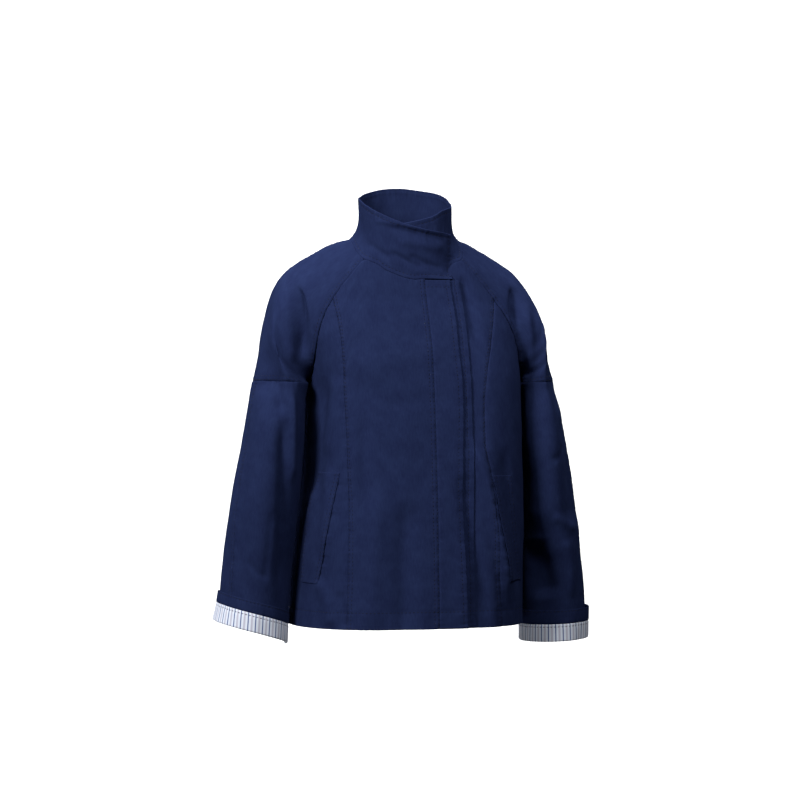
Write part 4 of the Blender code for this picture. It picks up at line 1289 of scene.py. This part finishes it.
@dataclass(frozen=True)
class Workroom:
    """The finishes and the thread, and how a panel becomes a piece of the jacket."""

    navy: bpy.types.Material
    striped: bpy.types.Material
    thread: bpy.types.Material
    stitching: Stitching = Stitching()

    def make(
        self,
        node: str,
        cloth: Cloth,
        stitch_lines: Sequence[tuple[Border, float]] = (),
        held: str = "draped",
        thickness: float = CLOTH,
        is_striped: bool = False,
    ) -> bpy.types.Object:
        """Makes a panel and its stitches, in place of the solid that it stands for.

        Args:
            node: the solid that the panel stands for.
            cloth: the panel.
            stitch_lines: the border and the distance in from it of each row of stitches.
            held: how the cloth is held; not used.
            thickness: its thickness in millimetres.
            is_striped: whether it is cut from the striped poplin.

        Returns:
            The panel's object.
        """
        material = self.striped if is_striped else self.navy
        if stitch_lines:
            cloth = cloth.quilted(stitch_lines)
        piece = cloth.wall(node + "_cloth", thickness, material)
        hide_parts(node)
        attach(piece, "root")
        if stitch_lines:
            lines = [cloth.line_in(border, distance) for border, distance in stitch_lines]
            stitches = self.stitching.build(node + "_stitches", lines, self.thread)
            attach(stitches, "root")
        width, length, area = cloth.size()
        area = min(area, width * length)
        faces = len(piece.data.polygons)
        LOG.info("%s: %.0f x %.0f mm, %.4f m2, %d faces", node, width / MM, length / MM, area, faces)
        return piece


def evenly(line: Array, count: int = 400) -> Array:
    """A line of angles and drops read at even lengths over the cloth.

    Args:
        line: the angles and drops.
        count: the number of points.

    Returns:
        The line at even lengths.
    """
    run = run_of(line * np.array([BODY_RADIUS, 1.0]))
    at = np.linspace(0, run[-1], count)
    return np.stack([np.interp(at, run, line[:, axis]) for axis in range(2)], axis=-1)


@dataclass(frozen=True)
class JacketBody:
    """The five panels of the body, the fly over its front, the strip beneath and the pockets."""

    form: BodyForm
    princess_share: float = 0.3
    flap_lift: Table = (
        (50, 0.1), (80, 0.6), (112, 2.2), (150, 0.7), (300, 0.4), (420, 0.9), (480, 2.4), (540, 3.0),
        (575, 2.0),
    )
    welts_right: Table = ((341, -123, -151), (400, -133, -160), (450, -142, -166), (507, -154, -171))
    welts_left: Table = ((346, 103, 138), (400, 110, 145), (450, 118, 152), (505, 128, 161))
    strip_tuck: float = 26.0
    strip_level: float = -2.4
    welt_level: float = 1.4
    welt_slack: float = 0.8

    def level(self, side: int, grid: Array) -> Array:
        """How far in the left front lies under the placket, and 0 on the right."""
        if side < 0:
            return np.zeros(grid.shape[:-1])
        return self.form.underlap_level(grid[..., 0], grid[..., 1])

    def raglan_part(self, side: int, first: float, last: float) -> Array:
        """Angle and drop down the front raglan seam between two shares of it."""
        return self.form.raglan(self.form.raglan_front, side, np.linspace(first, last, 120))

    def princess(self, side: int) -> Array:
        """Angle and drop down the princess seam, starting on the raglan seam.

        Args:
            side: the side.

        Returns:
            The angles and drops.
        """
        table = self.form.princess_left if side > 0 else self.form.princess_right
        start = self.raglan_part(side, self.princess_share, 1.0)[0]
        line = self.form.seam(table, start[1])
        line[0] = start
        return line

    def panel(self, top: Array, first: Array, last: Array, side: int) -> Cloth:
        """A panel of the body from the angles and drops of its upper and side borders.

        Args:
            top: the upper border.
            first: the border of the first column.
            last: the border of the last column.
            side: the side.

        Returns:
            The panel.
        """
        hem = self.form.hem(first[-1, 0], last[-1, 0])
        width = abs(hem[-1, 0] - hem[0, 0]) * BODY_RADIUS
        length = max(first[-1, 1] - first[0, 1], last[-1, 1] - last[0, 1])
        down, across = spread(length, 1.3, 3.0), spread(max(width, 110.0))
        grid = between_edges(evenly(top), evenly(hem), first, last, down, across)
        points = self.form.point(grid[..., 0], grid[..., 1], self.level(side, grid))
        columns_right = grid[-1, -1, 0] > grid[-1, 0, 0]
        return Cloth(points, mirrored=not columns_right)

    def centre_right(self) -> Cloth:
        """The right front between its princess seam and the placket seam.

        Returns:
            The panel.
        """
        corner, placket = self.form.raglan_front[0][1], self.placket_angle()
        neck = self.form.neckline(np.linspace(-corner, math.degrees(placket), 120))
        top = np.concatenate([self.raglan_part(-1, 0, self.princess_share)[::-1], neck[1:]])
        last = self.form.seam(self.form.placket_seam, top[-1, 1])
        last[0] = top[-1]
        return self.panel(top, self.princess(-1), last, -1)

    def placket_angle(self) -> float:
        """The angle of the placket seam at the neck."""
        across = smooth_lookup(self.form.placket_seam, 1, self.form.neck_drop)
        return float(self.form.angle_at(across, self.form.neck_drop))

    def underlap_angle(self) -> float:
        """The angle of the left front's edge at the neck."""
        return float(self.form.angle_at(self.form.underlap_edge, self.form.neck_drop))

    def centre_left(self) -> Cloth:
        """The left front, from its edge beneath the placket to its princess seam.

        Returns:
            The panel.
        """
        corner = self.form.raglan_front[0][1]
        neck = self.form.neckline(np.linspace(math.degrees(self.underlap_angle()), corner, 120))
        top = np.concatenate([neck[:-1], self.raglan_part(1, 0, self.princess_share)])
        edge = self.form.underlap_edge
        first = self.form.seam(((18, edge), (580, edge)), top[0, 1])
        first[0] = top[0]
        return self.panel(top, first, self.princess(1), 1)

    def front_side(self, side: int) -> Cloth:
        """The side front, from its princess seam to the side seam."""
        top = self.raglan_part(side, self.princess_share, 1.0)
        return self.panel(top, self.princess(side), self.form.side_seam(side), side)

    def back(self) -> Cloth:
        """The back, from the left side seam to the right one.

        Returns:
            The panel.
        """
        shares = np.linspace(1, 0, 200)
        up_left = self.form.raglan(self.form.raglan_back, 1, shares)
        corner = self.form.raglan_back[0][1]
        neck = self.form.neckline(np.linspace(corner, 360 - corner, 160))
        down_right = up_left[::-1] * np.array([-1.0, 1.0]) + np.array([math.tau, 0.0])
        top = np.concatenate([up_left[:-1], neck, down_right[1:]])
        last = self.form.side_seam(1) * np.array([-1.0, 1.0]) + np.array([math.tau, 0.0])
        return self.panel(top, self.form.side_seam(1), last, -1)

    def flap(self) -> Cloth:
        """The outer fly, whose free edge stands a little off the strip.

        Returns:
            The panel.
        """
        drop = np.linspace(self.form.placket_top, self.form.hem_front, 400)
        first = self.form.angle_at(smooth_lookup(self.form.placket_seam, 1, drop), drop)
        last = self.form.angle_at(smooth_lookup(self.form.flap_edge, 1, drop), drop)
        down, across = spread(drop[-1] - drop[0], 1.3, 3.0), spread(43.0, 1.1, 2.4, 9.0)
        angle = np.interp(down, np.linspace(0, 1, 400), first)[:, None] * (1 - across)
        angle = angle + np.interp(down, np.linspace(0, 1, 400), last)[:, None] * across
        rows = (drop[0] + down * (drop[-1] - drop[0]))[:, None] + 0 * across
        lift = smooth_lookup(self.flap_lift, 1, rows) * smooth_step((across - 0.25) / 0.75)
        return Cloth(self.form.point(angle, rows, lift))

    def strip(self) -> Cloth:
        """The strip that shows from beneath the fly, its upper end narrower.

        Returns:
            The panel.
        """
        drop = np.linspace(self.form.placket_top, self.form.hem_front, 400)
        down = spread(drop[-1] - drop[0], 1.0, 3.0)
        across = 1 - spread(90.0, 1.0, 2.2, 14.0)[::-1]
        rows = (drop[0] + down * (drop[-1] - drop[0]))[:, None]
        tucked = smooth_lookup(self.form.flap_edge, 1, rows[:, 0]) - self.strip_tuck
        edge = smooth_lookup(self.form.strip_edge, 1, rows[:, 0])
        first, last = self.form.angle_at(tucked, rows[:, 0]), self.form.angle_at(edge, rows[:, 0])
        angle = first[:, None] * (1 - across) + last[:, None] * across
        return Cloth(self.form.point(angle, rows + 0 * across, self.strip_level))

    def welt(self, side: int) -> Cloth:
        """A slanted welt laid on the side front, a little slack at the pocket's mouth.

        Args:
            side: the side.

        Returns:
            The welt.
        """
        table = self.welts_left if side > 0 else self.welts_right
        length = table[-1][0] - table[0][0]
        down, across = spread(length, 1.2, 2.6, 8.0), spread(32.0, 1.0, 2.2, 8.0)
        drop = table[0][0] + down * length
        mouth = self.form.angle_at(smooth_lookup(table, 1, drop), drop)
        sewn = self.form.angle_at(smooth_lookup(table, 2, drop), drop)
        angle = mouth[:, None] * (1 - across) + sewn[:, None] * across
        rows = drop[:, None] + 0 * across
        slack = self.welt_slack * (1 - across) ** 2 * smooth_step(np.minimum(down, 1 - down) / 0.2)[:, None]
        level = self.welt_level + slack + self.level(side, np.stack([angle, rows], axis=-1))
        return Cloth(self.form.point(angle, rows, level), mirrored=side < 0)

    def line_on_form(self, side: int, line: Array) -> Array:
        """Points of a line of angles and drops, on the panel that carries it."""
        return self.form.point(line[:, 0], line[:, 1], self.level(side, line))


@dataclass(frozen=True)
class CollarForm:
    """The funnel collar: one strip that goes round the neck and lies over its own other end."""

    body: JacketBody
    right: SleeveForm
    left: SleeveForm
    flap_drop: float = 48.6
    flap_end: float = 57.5
    lift: float = 0.35
    end_lean: float = 11.0
    flare: float = 4.5
    centre_y: float = -20.0
    half_width: float = 73.0
    front: float = 67.0
    back: float = 60.0
    squareness: float = 2.4
    # turn round the neck from the front over the wearer's right, height of the top edge, how far
    # the edge is drawn in
    top: Table = (
        (-44, 19, 0), (-20, 24, 0), (0, 29, 0), (25, 39, 0), (45, 50, 0), (65, 62, 0), (90, 74, 0),
        (110, 80, 0), (135, 90, 0), (160, 96.5, 0), (180, 98, 0), (225, 92, 0), (250, 83, 2),
        (270, 73, 4), (285, 66, 4), (300, 61, 2), (318, 56, 0), (335, 46, 0), (350, 41, 0), (375, 35, 0),
    )
    folds: tuple[Fold, ...] = folds_of(
        Face.FRONT,
        (
            (-64, -40, -10, -30, 54, -21, 4, 4, 1.6),
            (-44, -31, -5, -20, 54, -9, 6, 6, -2.6),
            (-30, -9, 10, -2, 46, 4, 7, 7, 2.0),
            (-40, 8, -14, 22, 14, 33, 5, 5, -3.2),
            (-12, 12, 14, 25, 46, 34, 5, 5, -2.6),
            (-70, -8, -56, 6, -36, 20, 5, 5, -2.0),
        ),
    )

    def base(self) -> tuple[Array, Array]:
        """Points of the collar's lower edge, and each one's turn round the neck in degrees.

        Returns:
            The points and the turns.
        """
        form = self.body.form
        flap_angle = np.linspace(form.angle_at(self.flap_end, self.flap_drop), self.body.placket_angle(), 60)
        flap = form.point(flap_angle, np.full(60, self.flap_drop))
        neck, back = form.raglan_front[0][1], form.raglan_back[0][1]
        right = form.neckline(np.linspace(math.degrees(self.body.placket_angle()), -neck, 90))
        turns = np.linspace(0, 2, 80)[None]
        behind = form.neckline(np.linspace(-back, back - 360, 120))
        left = form.neckline(np.linspace(neck, math.degrees(self.body.underlap_angle()), 90))
        parts = [
            flap,
            self.body.line_on_form(-1, right)[2:],
            self.right.points(np.zeros(1), turns)[0][1:-1],
            self.body.line_on_form(-1, behind),
            self.left.points(np.zeros(1), turns)[0][::-1][1:-1],
            self.body.line_on_form(1, left),
        ]
        line = np.concatenate(parts)
        run = run_of(line)
        places = spread(run[-1], 1.2, 2.6) * run[-1]
        line = np.stack([np.interp(places, run, line[:, axis]) for axis in range(3)], axis=-1)
        for _ in range(3):
            line[1:-1] = (line[:-2] + 2 * line[1:-1] + line[2:]) / 4
        turn = np.degrees(np.unwrap(np.arctan2(-line[:, 0], self.centre_y - line[:, 1])))
        return line + np.array([0.0, 0.0, self.lift]), turn

    def cloth(self) -> Cloth:
        """The collar's panel, rows from the top edge down.

        Returns:
            The panel.
        """
        base, turn = self.base()
        angle = np.radians(turn)
        level = self.body.form.underlap * smooth_step((turn - 288.0) / 16.0)
        angle = angle - math.radians(self.end_lean) * smooth_step((-18.0 - turn) / 22.0)
        depth = np.where(np.cos(angle) > 0, self.front, self.back)
        wide, deep = np.abs(np.sin(angle)) / self.half_width, np.abs(np.cos(angle)) / depth
        radius = (wide**self.squareness + deep**self.squareness) ** (-1 / self.squareness)
        radius = radius + level - smooth_lookup(self.top, 2, turn)
        height = smooth_lookup(self.top, 1, turn)
        top = np.stack([-radius * np.sin(angle), self.centre_y - radius * np.cos(angle), height], axis=-1)
        share = 1 - spread(105.0, 1.1, 2.4, 12.0)[:, None, None]
        inwards = 1 - (1 - share) ** self.flare
        weights = np.concatenate([inwards, inwards, share], axis=-1)
        points = base * (1 - weights) + top * weights
        cloth = Cloth(points, mirrored=True)
        normals = cloth.normals()
        outer = (turn < 200)[None]
        rise = sum(
            fold.lift(points[..., 0], -points[..., 2]) * face_weight(fold.face, normals[..., 1])
            for fold in self.folds
        )
        rise = rise * outer + unevenness(turn[None] * 1.2, -points[..., 2], 5.0) * 0.9
        shares = share[..., 0]
        rise = rise * smooth_step(np.minimum(shares * 8.0, 1.0))
        return Cloth(points + normals * rise[..., None], mirrored=True)


@dataclass(frozen=True)
class Sleeve:
    """One sleeve in four panels, with its striped turn-up and the navy band above that."""

    form: SleeveForm
    band_share: float = 0.048
    turn_up_level: float = 2.1
    lip: float = 2.2
    flare: float = 0.0
    facing_thickness: float = 0.8
    upper_length: float = 250.0
    lower_length: float = 385.0
    band_height: float = 13.5
    facing_height: float = 31.0
    half_girth: float = 160.0

    def grid(self, first: float, last: float, length: float, turns: Array) -> Cloth:
        """A panel of the sleeve between two shares, with its turns given down both sides.

        Args:
            first: the share of its top.
            last: the share of its bottom.
            length: its length in millimetres.
            turns: rows of a share and the turns of both sides there.

        Returns:
            The panel.
        """
        shares = first + spread(length, 1.3, 3.0) * (last - first)
        lines = np.array([np.interp(shares, turns[:, 0], turns[:, column]) for column in (1, 2)]).T
        across = spread(max(lines.ptp(axis=1).mean() * self.half_girth, 60.0), 1.2, 3.2)
        places = lines[:, :1] * (1 - across) + lines[:, 1:] * across
        return Cloth(self.form.points(shares, places), mirrored=self.form.side < 0)

    def upper(self, first: float, last: float) -> Cloth:
        """An upper panel between two turns, from the neck to the seam round the arm."""
        turns = np.array([(0.0, first, last), (1.0, first, last)])
        return self.grid(0.0, 1.0, self.upper_length, turns)

    def outer_line(self) -> Array:
        """Share and turn down the outer seam of the lower sleeve."""
        shares = np.linspace(1.0, 2.0, 60)
        return np.stack([shares, [self.form.outer_place(share) for share in shares]], axis=-1)

    def lower_front(self) -> Cloth:
        """The lower front panel, from the underarm to the outer seam.

        Returns:
            The panel.
        """
        line = self.outer_line()
        turns = np.column_stack([line[:, 0], 0 * line[:, 0], line[:, 1]])
        return self.grid(1 + BELOW_ARM_SEAM, 2.0, self.lower_length, turns)

    def lower_back(self) -> Cloth:
        """The lower back panel, from the outer seam round the back to the underarm.

        Returns:
            The panel.
        """
        line = self.outer_line()
        turns = np.column_stack([line[:, 0], line[:, 1], 0 * line[:, 0] + 2.0])
        return self.grid(1 + BELOW_ARM_SEAM, 2.0, self.lower_length, turns)

    def ring(self, first: float, last: float, length: float) -> Array:
        """Points all the way round the turn-up between two shares.

        Args:
            first: the share of the top.
            last: the share of the bottom.
            length: the height in millimetres.

        Returns:
            The points, rows by columns.
        """
        shares = first + spread(length, 0.9, 2.4, 6.0) * (last - first)
        turns = np.linspace(0, 2, 151)[:-1]
        turns = np.broadcast_to(turns, (len(shares), 150))
        points = self.form.points(shares, turns, self.turn_up_level, self.form.stand_off)
        centre = points.mean(axis=1, keepdims=True)
        out = unit((points - centre) * np.array([1.0, 1.0, 0.0]))
        down = np.clip((shares - 2) / self.form.turn_up_share + 1, 0.0, 1.0)[:, None]
        outside = smooth_step(1 - np.abs(turns / 2 - 0.5) / 0.34)
        ripple = 0.5 * np.sin(turns * 14.0 + self.form.side) + 0.4 * np.sin(turns * 23.0 + 1.3)
        return points + out * (down**1.3 * outside * self.flare + ripple * down)[..., None]

    def band(self) -> Cloth:
        """The navy band at the top of the turn-up."""
        top = 2 - self.form.turn_up_share
        points = self.ring(top, top + self.band_share - 0.001, self.band_height)
        return Cloth(points, closed=True, mirrored=self.form.side < 0)

    def facing(self) -> Cloth:
        """The striped facing, rounded under the sleeve's end where it is turned up.

        Returns:
            The panel.
        """
        top = 2 - self.form.turn_up_share + self.band_share
        points = self.ring(top, 2.0, self.facing_height)
        edge = points[-1]
        way = unit((edge.mean(axis=0) - edge) * np.array([1.0, 1.0, 0.0]))
        lip = [
            edge + way * self.lip * (1 - math.cos(turn)) - np.array([0, 0, 1.0]) * self.lip * math.sin(turn)
            for turn in np.radians([18, 38, 60, 85, 110, 135, 155])
        ]
        return Cloth(np.concatenate([points, lip]), closed=True, mirrored=self.form.side < 0)

    def row_line(self, share: float) -> Array:
        """Points round the sleeve at one share."""
        return self.form.points(np.array([share]), np.linspace(0, 2, 160)[None])[0]

    def down_line(self, turn: float, first: float, last: float) -> Array:
        """Points down the sleeve at one turn."""
        shares = np.linspace(first, last, 120)
        return self.form.points(shares, np.full((120, 1), turn))[:, 0]

    def outer_seam(self) -> Array:
        """Points down the outer seam of the lower sleeve."""
        line = self.outer_line()
        return self.form.points(line[:, 0] + BELOW_ARM_SEAM, line[:, 1:])[:, 0]


@dataclass(frozen=True)
class Jacket:
    """The whole jacket, panel by panel."""

    body: JacketBody
    right: Sleeve
    left: Sleeve
    room: Workroom
    edge_row: float = 1.6
    twin_row: float = 7.5
    hem_row: float = 25.0
    welt_rows: tuple[float, float] = (1.5, 7.0)

    def twin_rows(self, *borders: Border) -> list[tuple[Border, float]]:
        """Two rows of stitches along each border."""
        return [(border, distance) for border in borders for distance in (self.edge_row, self.twin_row)]

    def raglan_seams(self, side: int) -> dict[str, Seam]:
        """The front and back raglan seams of one side.

        Args:
            side: the side.

        Returns:
            The two seams by name.
        """
        form = self.body.form
        shares = np.linspace(0, 1, 200)
        front = form.raglan(form.raglan_front, side, shares)
        back = form.raglan(form.raglan_back, side, shares)
        return {
            "front": Seam(form.point(front[:, 0], front[:, 1]), roll=1.1, pucker=0.3, seed=0.4 + side),
            "back": Seam(form.point(back[:, 0], back[:, 1]), pucker=0.3, seed=1.4 + side),
        }

    def sew_body(self, collar_base: Array) -> None:
        """The panels of the body with their seams, hem and pockets.

        Args:
            collar_base: points of the seam between the body and the collar.
        """
        body, form = self.body, self.body.form
        neck = Seam(collar_base, roll=0.5, pucker=0.25, seed=2.0)
        angles = np.linspace(-math.pi, math.pi, 500)
        hem_line = np.stack([angles, form.hem_drop(angles)], axis=-1)
        hem = Seam(form.point(hem_line[:, 0], hem_line[:, 1]), roll=0.0, pucker=0.45, reach=22.0, seed=0.9)
        placket_line = form.seam(form.placket_seam, form.placket_top)
        placket = Seam(body.line_on_form(-1, placket_line), pucker=0.25, seed=5.0)
        edges = [Border.TOP, Border.LAST, Border.FIRST]
        hem_rows = [(Border.BOTTOM, self.hem_row)]
        for side, letter in ((-1, "R"), (1, "L")):
            raglan = self.raglan_seams(side)
            princess = Seam(body.line_on_form(side, body.princess(side)), pucker=0.3, seed=3.0 + side)
            side_seam = Seam(body.line_on_form(side, form.side_seam(side)), seed=4.0 + side)
            welt = body.welt(side)
            mouth = Seam(welt.points[:, 0], roll=0.0, pucker=0.5, reach=11.0, seed=0.3 * side)
            centre = body.centre_right() if side < 0 else body.centre_left()
            seams = [raglan["front"], princess, neck, hem, mouth]
            rows = self.twin_rows(Border.LAST)
            if side < 0:
                seams.append(placket)
                rows = self.twin_rows(Border.FIRST, Border.LAST)
            self.room.make("front_centre_" + letter, centre.sewn(seams).drawn_in(edges), rows + hem_rows)
            panel = body.front_side(side).sewn([raglan["front"], princess, side_seam, hem, mouth])
            self.room.make("front_side_" + letter, panel.drawn_in(edges), hem_rows)
            rows = [(border, row) for border in (Border.FIRST, Border.LAST) for row in self.welt_rows]
            self.room.make("pocket_welt_" + letter, welt, rows)
        seams = [raglan["back"] for raglan in map(self.raglan_seams, (-1, 1))]
        seams += [Seam(body.line_on_form(-1, form.side_seam(side)), seed=4.0 + side) for side in (-1, 1)]
        back = body.back().sewn([*seams, neck, hem])
        self.room.make("back", back.drawn_in(edges), hem_rows)
        flap = body.flap()
        free = Seam(flap.points[:, -1], roll=0.0, pucker=0.35, reach=12.0, seed=1.1)
        rows = [(Border.LAST, 7.0), (Border.TOP, 11.0), *hem_rows]
        self.room.make("placket_flap", flap.sewn([placket, free]).drawn_in([Border.FIRST]), rows)
        strip = body.strip()
        free = Seam(strip.points[:, -1], roll=0.0, pucker=0.2, reach=12.0, seed=2.1)
        self.room.make("placket_strip", strip.sewn([free]), [(Border.LAST, 8.0), *hem_rows])

    def sew_sleeve(self, sleeve: Sleeve, letter: str) -> None:
        """One sleeve and its turn-up.

        Args:
            sleeve: the sleeve.
            letter: R or L.
        """
        side = sleeve.form.side
        raglan = self.raglan_seams(side)
        over_arm = Seam(sleeve.down_line(1.0, 0.0, 1.0), seed=6.0 + side)
        round_arm = Seam(sleeve.row_line(1.0), pucker=0.4, seed=7.0 + side)
        outer = Seam(sleeve.outer_seam(), pucker=0.3, seed=8.0 + side)
        under = Seam(sleeve.down_line(0.0, 1 + BELOW_ARM_SEAM, 2.0), seed=9.0 + side)
        every = [Border.TOP, Border.BOTTOM, Border.FIRST, Border.LAST]
        front = sleeve.upper(0.0, 1.0).sewn([raglan["front"], over_arm, round_arm])
        rows = [(Border.FIRST, 5.0), *self.twin_rows(Border.BOTTOM)]
        self.room.make("sleeve_upper_front_" + letter, front.drawn_in(every), rows)
        back = sleeve.upper(1.0, 2.0).sewn([raglan["back"], over_arm, round_arm])
        rows = [(Border.LAST, 5.0), (Border.FIRST, 5.0), *self.twin_rows(Border.BOTTOM)]
        self.room.make("sleeve_upper_back_" + letter, back.drawn_in(every), rows)
        edges = [Border.TOP, Border.FIRST, Border.LAST]
        front = sleeve.lower_front().sewn([round_arm, outer, under])
        self.room.make("sleeve_lower_front_" + letter, front.drawn_in(edges))
        back = sleeve.lower_back().sewn([round_arm, outer, under])
        self.room.make("sleeve_lower_back_" + letter, back.drawn_in(edges), self.twin_rows(Border.FIRST))
        band = sleeve.band()
        joined = Seam(np.concatenate([band.points[-1], band.points[-1][:1]]), pucker=0.15, seed=1.0 + side)
        thin = sleeve.facing_thickness
        self.room.make("cuff_band_" + letter, band.sewn([joined]), [(Border.TOP, 2.0)], "folded", thin)
        facing = sleeve.facing().sewn([joined])
        self.room.make("cuff_facing_" + letter, facing, [(Border.TOP, 4.0)], "folded", thin, True)

    def sew(self) -> None:
        """Sews every panel."""
        collar = CollarForm(self.body, self.right.form, self.left.form)
        self.sew_body(collar.base()[0])
        self.sew_sleeve(self.right, "R")
        self.sew_sleeve(self.left, "L")
        cloth = collar.cloth()
        edge = Seam(cloth.points[0], roll=0.0, pucker=0.35, reach=14.0, seed=0.2)
        end = Seam(cloth.points[:, 0], roll=0.0, pucker=0.3, reach=10.0, seed=0.8)
        rows = [(Border.TOP, 6.0), (Border.FIRST, 6.0), (Border.BOTTOM, 6.0)]
        self.room.make("collar", cloth.sewn([edge, end]), rows, thickness=COLLAR_CLOTH)


@dataclass(frozen=True)
class Studio:
    """A white paper sweep far behind the jacket, a big soft light and the photograph's camera."""

    floor: float = -1.6
    wall: float = 4.6
    bend: float = 1.0
    half_width: float = 3.4
    height: float = 3.5
    front: float = 0.6
    camera_at: Place = (-0.7843, -3.5138, -0.2325)
    camera_turn: float = -12.5
    lens: float = 104.5
    lit: Place = (0.0, 0.0, -0.25)
    air: str = "#E6ECF6"
    air_strength: float = 0.06

    def sweep(self, paper: bpy.types.Material) -> None:
        """The backdrop: a floor that curves up into a wall.

        Args:
            paper: its finish.
        """
        profile = [(self.front, self.floor), (self.wall - self.bend, self.floor)]
        for turn in np.radians(np.linspace(0, 90, 13))[1:]:
            profile.append(
                (
                    self.wall - self.bend + self.bend * math.sin(turn),
                    self.floor + self.bend * (1 - math.cos(turn)),
                )
            )
        profile.append((self.wall, self.height))
        points = [(x, y, z) for y, z in profile for x in (-self.half_width, self.half_width)]
        faces = [(2 * i, 2 * i + 1, 2 * i + 3, 2 * i + 2) for i in range(len(profile) - 1)]
        mesh = bpy.data.meshes.new("backdrop")
        mesh.from_pydata(points, [], faces)
        mesh.update()
        mesh.shade_smooth()
        mesh.materials.append(paper)
        backdrop = bpy.data.objects.new("backdrop", mesh)
        bpy.context.scene.collection.objects.link(backdrop)

    def soft_light(self, name: str, at: Place, to: Place, size: float, power: float) -> None:
        """A square area light that looks from one place to another.

        Args:
            name: its name.
            at: where it stands.
            to: where it looks.
            size: the length of its sides in metres.
            power: its power in watts.
        """
        lamp = bpy.data.lights.new(name, "AREA")
        lamp.size, lamp.energy = size, power
        light = bpy.data.objects.new(name, lamp)
        light.location = at
        light.rotation_euler = (Vector(to) - Vector(at)).to_track_quat("-Z", "Y").to_euler()
        bpy.context.scene.collection.objects.link(light)

    def build(self, paper: bpy.types.Material) -> None:
        """Sets the backdrop, the lights and the camera.

        Args:
            paper: the backdrop's finish.
        """
        self.sweep(paper)
        self.soft_light("key softbox", (-2.0, -1.45, 1.1), self.lit, 0.7, 88.0)
        self.soft_light("overhead panel", (0.35, -1.9, 1.9), self.lit, 0.8, 56.0)
        self.soft_light("backdrop light", (0.0, 1.6, 3.2), (0.0, 4.6, -0.4), 3.0, 420.0)
        world = bpy.data.worlds.new("studio air")
        world.use_nodes = True
        sky = world.node_tree.nodes["Background"]
        sky.inputs["Color"].default_value = srgb(self.air)
        sky.inputs["Strength"].default_value = self.air_strength
        scene = bpy.context.scene
        scene.world = world
        scene.view_settings.view_transform = "Standard"
        lens = bpy.data.cameras.new("camera")
        lens.lens, lens.sensor_width = self.lens, 36.0
        camera = bpy.data.objects.new("camera", lens)
        camera.location = self.camera_at
        camera.rotation_euler = (math.pi / 2, 0.0, math.radians(self.camera_turn))
        scene.collection.objects.link(camera)
        scene.camera = camera


def main() -> None:
    """Loads the frame, dresses the jacket and lights it."""
    logging.basicConfig(level=logging.INFO, format="%(name)s: %(message)s")
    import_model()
    form = BodyForm()
    body = JacketBody(form)
    right = Sleeve(SleeveForm(form, -1, 584.0, 19.0, 1.0, RIGHT_FOLDS), flare=7.0)
    left = Sleeve(SleeveForm(form, 1, 603.0, 3.0, 5.0, LEFT_FOLDS), band_share=0.054)
    # The thread's navy is made darker than the cloth's, as painted shade of the stitch holes along each row.
    thread = PlainFinish("navy polyester sewing thread, darkened as painted shade", "#0A1026", 0.8)
    room = Workroom(CottonTwill().build(), StripedPoplin().build(), thread.build())
    Jacket(body, right, left, room).sew()
    Studio().build(PlainFinish("white backdrop paper", "#F2F2F2", 0.95).build())


if __name__ == "__main__":
    main()
